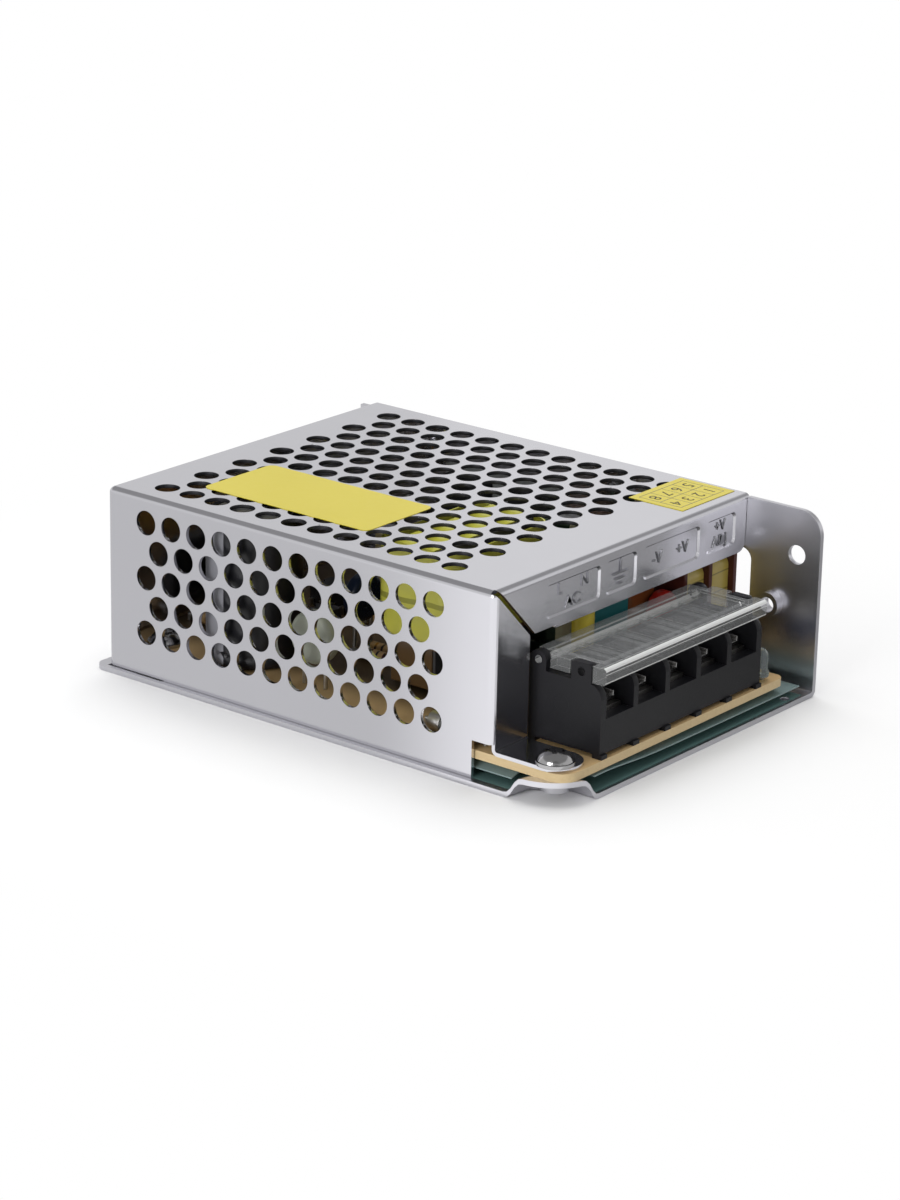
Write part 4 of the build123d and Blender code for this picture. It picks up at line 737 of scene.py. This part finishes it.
# ---- Screws of the cover and the board ----------------------------------------------------------
# Countersunk screws hold the cover's tabs to the wall. Pan heads with a pressed washer hold the
# board to the pads, and the near front one also clamps the foot of the cover.

bright = plated("screw_bright", (0.52, 0.515, 0.52), 0.07)
for node, piece_name in (
    ("cover_screws", "cover_screw_pair"),
    ("board_screws", "board_screw_set"),
    ("clamp_screw", "strip_screw"),
):
    refined(node, piece_name, 0.00012, material=bright)


# ---- Labels -------------------------------------------------------------------------------------
# Two yellow coated labels stick to the top. The larger one, with rounded corners, is plain. The
# smaller one is ruled into eight numbered fields.

label_yellow, place, wire = start_finish(
    "label_yellow", IOR=1.5, Coat_Weight=0.25, Coat_Roughness=0.2
)
paper = place.noise(900.0, 4.0, 0.6)
wire(
    Base_Color=place.noise(60.0, 2.0).mix((0.64, 0.535, 0.03), (0.70, 0.59, 0.042)),
    Roughness=0.34 + paper * 0.12,
    Normal=raised(place, paper, 0.00003, 0.4),
)
clad("plain_label", label_yellow)

ruled, place, wire = start_finish("label_ruled", IOR=1.5, Coat_Weight=0.25, Coat_Roughness=0.2)
paper = place.noise(900.0, 4.0, 0.6)
field_width, border_line, half_line = 3.5, 0.00018, 0.00009
ruling_x, ruling_y, ruling_start = 0.0298, -0.0294, 0.0228
side_gap = 0.0070 - abs(place.axis("X") - ruling_x)
end_gap = 0.0048 - abs(place.axis("Y") - ruling_y)
inside = (side_gap > 0.0) * (end_gap > 0.0)
border = inside * (1 - (side_gap > border_line) * (end_gap > border_line))
column = ((place.axis("X") - ruling_start) * 1000.0 / field_width).fraction()
middle_line = abs(place.axis("Y") - ruling_y) < half_line
lines = (column < 0.045).highest(middle_line) * inside
wire(
    Base_Color=lines.highest(border).mix((0.68, 0.57, 0.04), (0.10, 0.08, 0.03)),
    Roughness=0.34 + paper * 0.12,
    Normal=raised(place, paper, 0.00003, 0.4),
)
clad("number_label", ruled)
ink, place, wire = start_finish("label_ink", IOR=1.5)
worn = place.noise(1200.0, 3.0)
wire(Base_Color=worn.mix((0.045, 0.038, 0.02), (0.09, 0.075, 0.035)), Roughness=0.4 + worn * 0.2)
first_x, first_y, field_height, label_top = 35.05 * mm, -31.8 * mm, 4.8, 36.11 * mm
for digit in range(1, 9):
    row, number = divmod(digit - 1, 4)
    bpy.ops.object.text_add()
    figure = bpy.context.object
    figure.data.body = str(digit)
    figure.data.size = 3.6 * mm
    figure.data.align_x = "CENTER"
    figure.data.align_y = "CENTER"
    figure.name = f"label_digit_{digit}"
    bpy.ops.object.convert(target="MESH")
    figure = bpy.context.object
    figure.data.transform(
        Matrix.Translation(
            (first_x - number * field_width * mm, first_y + row * field_height * mm, label_top)
        )
        @ Matrix.Rotation(math.radians(180), 4, "Z")
    )
    figure.data.materials.append(ink)
    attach(figure, "base")
    figure.select_set(False)


# ---- Floor, light and camera --------------------------------------------------------------------
# The supply stands on a white table in soft studio light, seen from its near front corner. The
# table keeps its shadow and glows white further out. For mirrored rays it is painted: it glows
# beside the near side, brighter towards its near end, and is dimmed in front, as painted
# reflections.

def grey(amount):
    """An amount as a grey colour."""
    return amount.node("ShaderNodeCombineXYZ", values={0: amount, 1: amount, 2: amount})


def ray(tree_wire, kind):
    """1 for rays of one kind, and 0 for all others."""
    return tree_wire.node("ShaderNodeLightPath", out=kind)


def eye_rays(tree_wire):
    """1 for what is seen straight, mirrored or through glass, and 0 for softly bounced light."""
    straight = ray(tree_wire, "Is Camera Ray").highest(ray(tree_wire, "Is Transmission Ray"))
    return straight.highest(ray(tree_wire, "Is Glossy Ray"))


bpy.ops.mesh.primitive_plane_add(size=6.0, location=(0, 0, 0))
floor = bpy.context.object
floor.name = "table_top"
table = bpy.data.materials.new("table_white")
table.use_nodes = True
tree = table.node_tree
tree.nodes.clear()
output = tree.nodes.new("ShaderNodeOutputMaterial")
matt = tree.nodes.new("ShaderNodeBsdfDiffuse")
start = Wire(tree, matt.outputs[0])
mirrored = ray(start, "Is Glossy Ray")
spot = start.node("ShaderNodeTexCoord", out="Object")
from_x, from_y = spot.axis("X"), spot.axis("Y")
# Painted reflection: for mirrored rays the table in front and to the right is painted darker, so
# that the lip shows a darker reflection.
front_dim = 1 - from_x.between(0.0, 0.55, 0.0, 0.07) * (from_y < -0.05)
dimmed = front_dim.mix((0.0, 0.0, 0.0), (0.68, 0.68, 0.68))
shade = mirrored.mix((0.97, 0.97, 0.97), dimmed)
tree.links.new(eye_rays(start).mix((0.55, 0.55, 0.55), shade).socket, matt.inputs["Color"])
half_case_x, half_case_y, shadow_reach = 0.040, 0.055, 0.085
out_x = (abs(from_x) - half_case_x).highest(0.0)
out_y = (abs(from_y) - half_case_y).highest(0.0)
far_out = (out_x * out_x + out_y * out_y).root().between(0.0, 1.0, 0.0, shadow_reach)
glow = tree.nodes.new("ShaderNodeEmission")
# Painted reflection: for mirrored rays the table beside the near side glows, brighter towards its
# near end, so that the side shows a bright reflection.
left_side = from_x < -0.04
along_side = from_y + from_x * 0.788
bright_end = along_side.between(1.04, 0.64, -0.070, -0.040)
reflected = left_side * bright_end + (1 - left_side) * 0.70 * front_dim
tree.links.new(grey(mirrored * reflected + (1 - mirrored)).socket, glow.inputs["Color"])
share = (far_out * eye_rays(start)).highest(mirrored * left_side)
both = tree.nodes.new("ShaderNodeMixShader")
tree.links.new(share.socket, both.inputs[0])
tree.links.new(matt.outputs[0], both.inputs[1])
tree.links.new(glow.outputs[0], both.inputs[2])
tree.links.new(both.outputs[0], output.inputs[0])
floor.data.materials.append(table)

world = bpy.data.worlds.new("studio")
bpy.context.scene.world = world
world.use_nodes = True
tree = world.node_tree
tree.nodes.clear()
output = tree.nodes.new("ShaderNodeOutputWorld")
sky = tree.nodes.new("ShaderNodeBackground")
tree.links.new(sky.outputs[0], output.inputs[0])
start = Wire(tree, sky.outputs[0])
toward = start.node("ShaderNodeTexCoord", out="Generated")
rise = toward.axis("Z")
front_x, front_y, front_z = -0.742, -0.585, 0.326
ahead = toward.axis("X") * front_x + toward.axis("Y") * front_y + rise * front_z
dark_front = ahead.between(0.0, 0.35, 0.78, 0.93)
mirrored = ray(start, "Is Glossy Ray")
studio = rise.between(0.70, 0.30, 0.40, 0.58) * (1 - dark_front)
seen = mirrored * studio + (1 - mirrored)
soft_light = 0.47
sky_light = eye_rays(start) * seen + (1 - eye_rays(start)) * soft_light
tree.links.new(grey(sky_light).socket, sky.inputs["Color"])


def lamp(name, place, target, size, power, mirrored=True, lighting=True):
    """A soft box that looks at a point, and shows in metal or lights what is dull, or both."""
    light = bpy.data.lights.new(name, "AREA")
    light.shape = "RECTANGLE"
    light.size, light.size_y = size
    light.energy = power
    holder = bpy.data.objects.new(name, light)
    bpy.context.scene.collection.objects.link(holder)
    holder.location = place
    holder.visible_camera = False
    holder.visible_glossy = mirrored
    holder.visible_diffuse = lighting
    holder.rotation_mode = "QUATERNION"
    holder.rotation_quaternion = (Vector(target) - Vector(place)).to_track_quat("-Z", "Y")


lamp("top_box", (0.20, 0.20, 0.86), (0, 0, 0), (0.8, 0.8), 5.4, False)
lamp("left_box", (-0.50, -0.06, 0.16), (0, 0, 0.02), (0.26, 0.26), 1.0)
lamp("back_box", (0.27, 0.09, 0.15), (0.0, -0.02, 0.03), (0.22, 0.18), 0.014, True, False)

view = bpy.data.cameras.new("view")
view.sensor_fit = "AUTO"
view.sensor_width = 36.0
view.lens = 110.66
view.clip_start = 0.01
view.clip_end = 20.0
camera = bpy.data.objects.new("view", view)
bpy.context.scene.collection.objects.link(camera)
turn, rise, roll = math.radians(-51.7406), math.radians(19.0319), math.radians(1.2393)
back = Vector((math.sin(turn) * math.cos(rise), -math.cos(turn) * math.cos(rise), math.sin(rise)))
right = Vector((math.cos(turn), math.sin(turn), 0.0))
up = back.cross(right)
right_rolled = right * math.cos(roll) + up * math.sin(roll)
up_rolled = up * math.cos(roll) - right * math.sin(roll)
eye = Vector((-0.50845, -0.39979, 0.23927))
camera.matrix_world = Matrix(
    (
        (right_rolled.x, up_rolled.x, back.x, eye.x),
        (right_rolled.y, up_rolled.y, back.y, eye.y),
        (right_rolled.z, up_rolled.z, back.z, eye.z),
        (0, 0, 0, 1),
    )
)
bpy.context.scene.camera = camera
bpy.context.scene.view_settings.view_transform = "Standard"
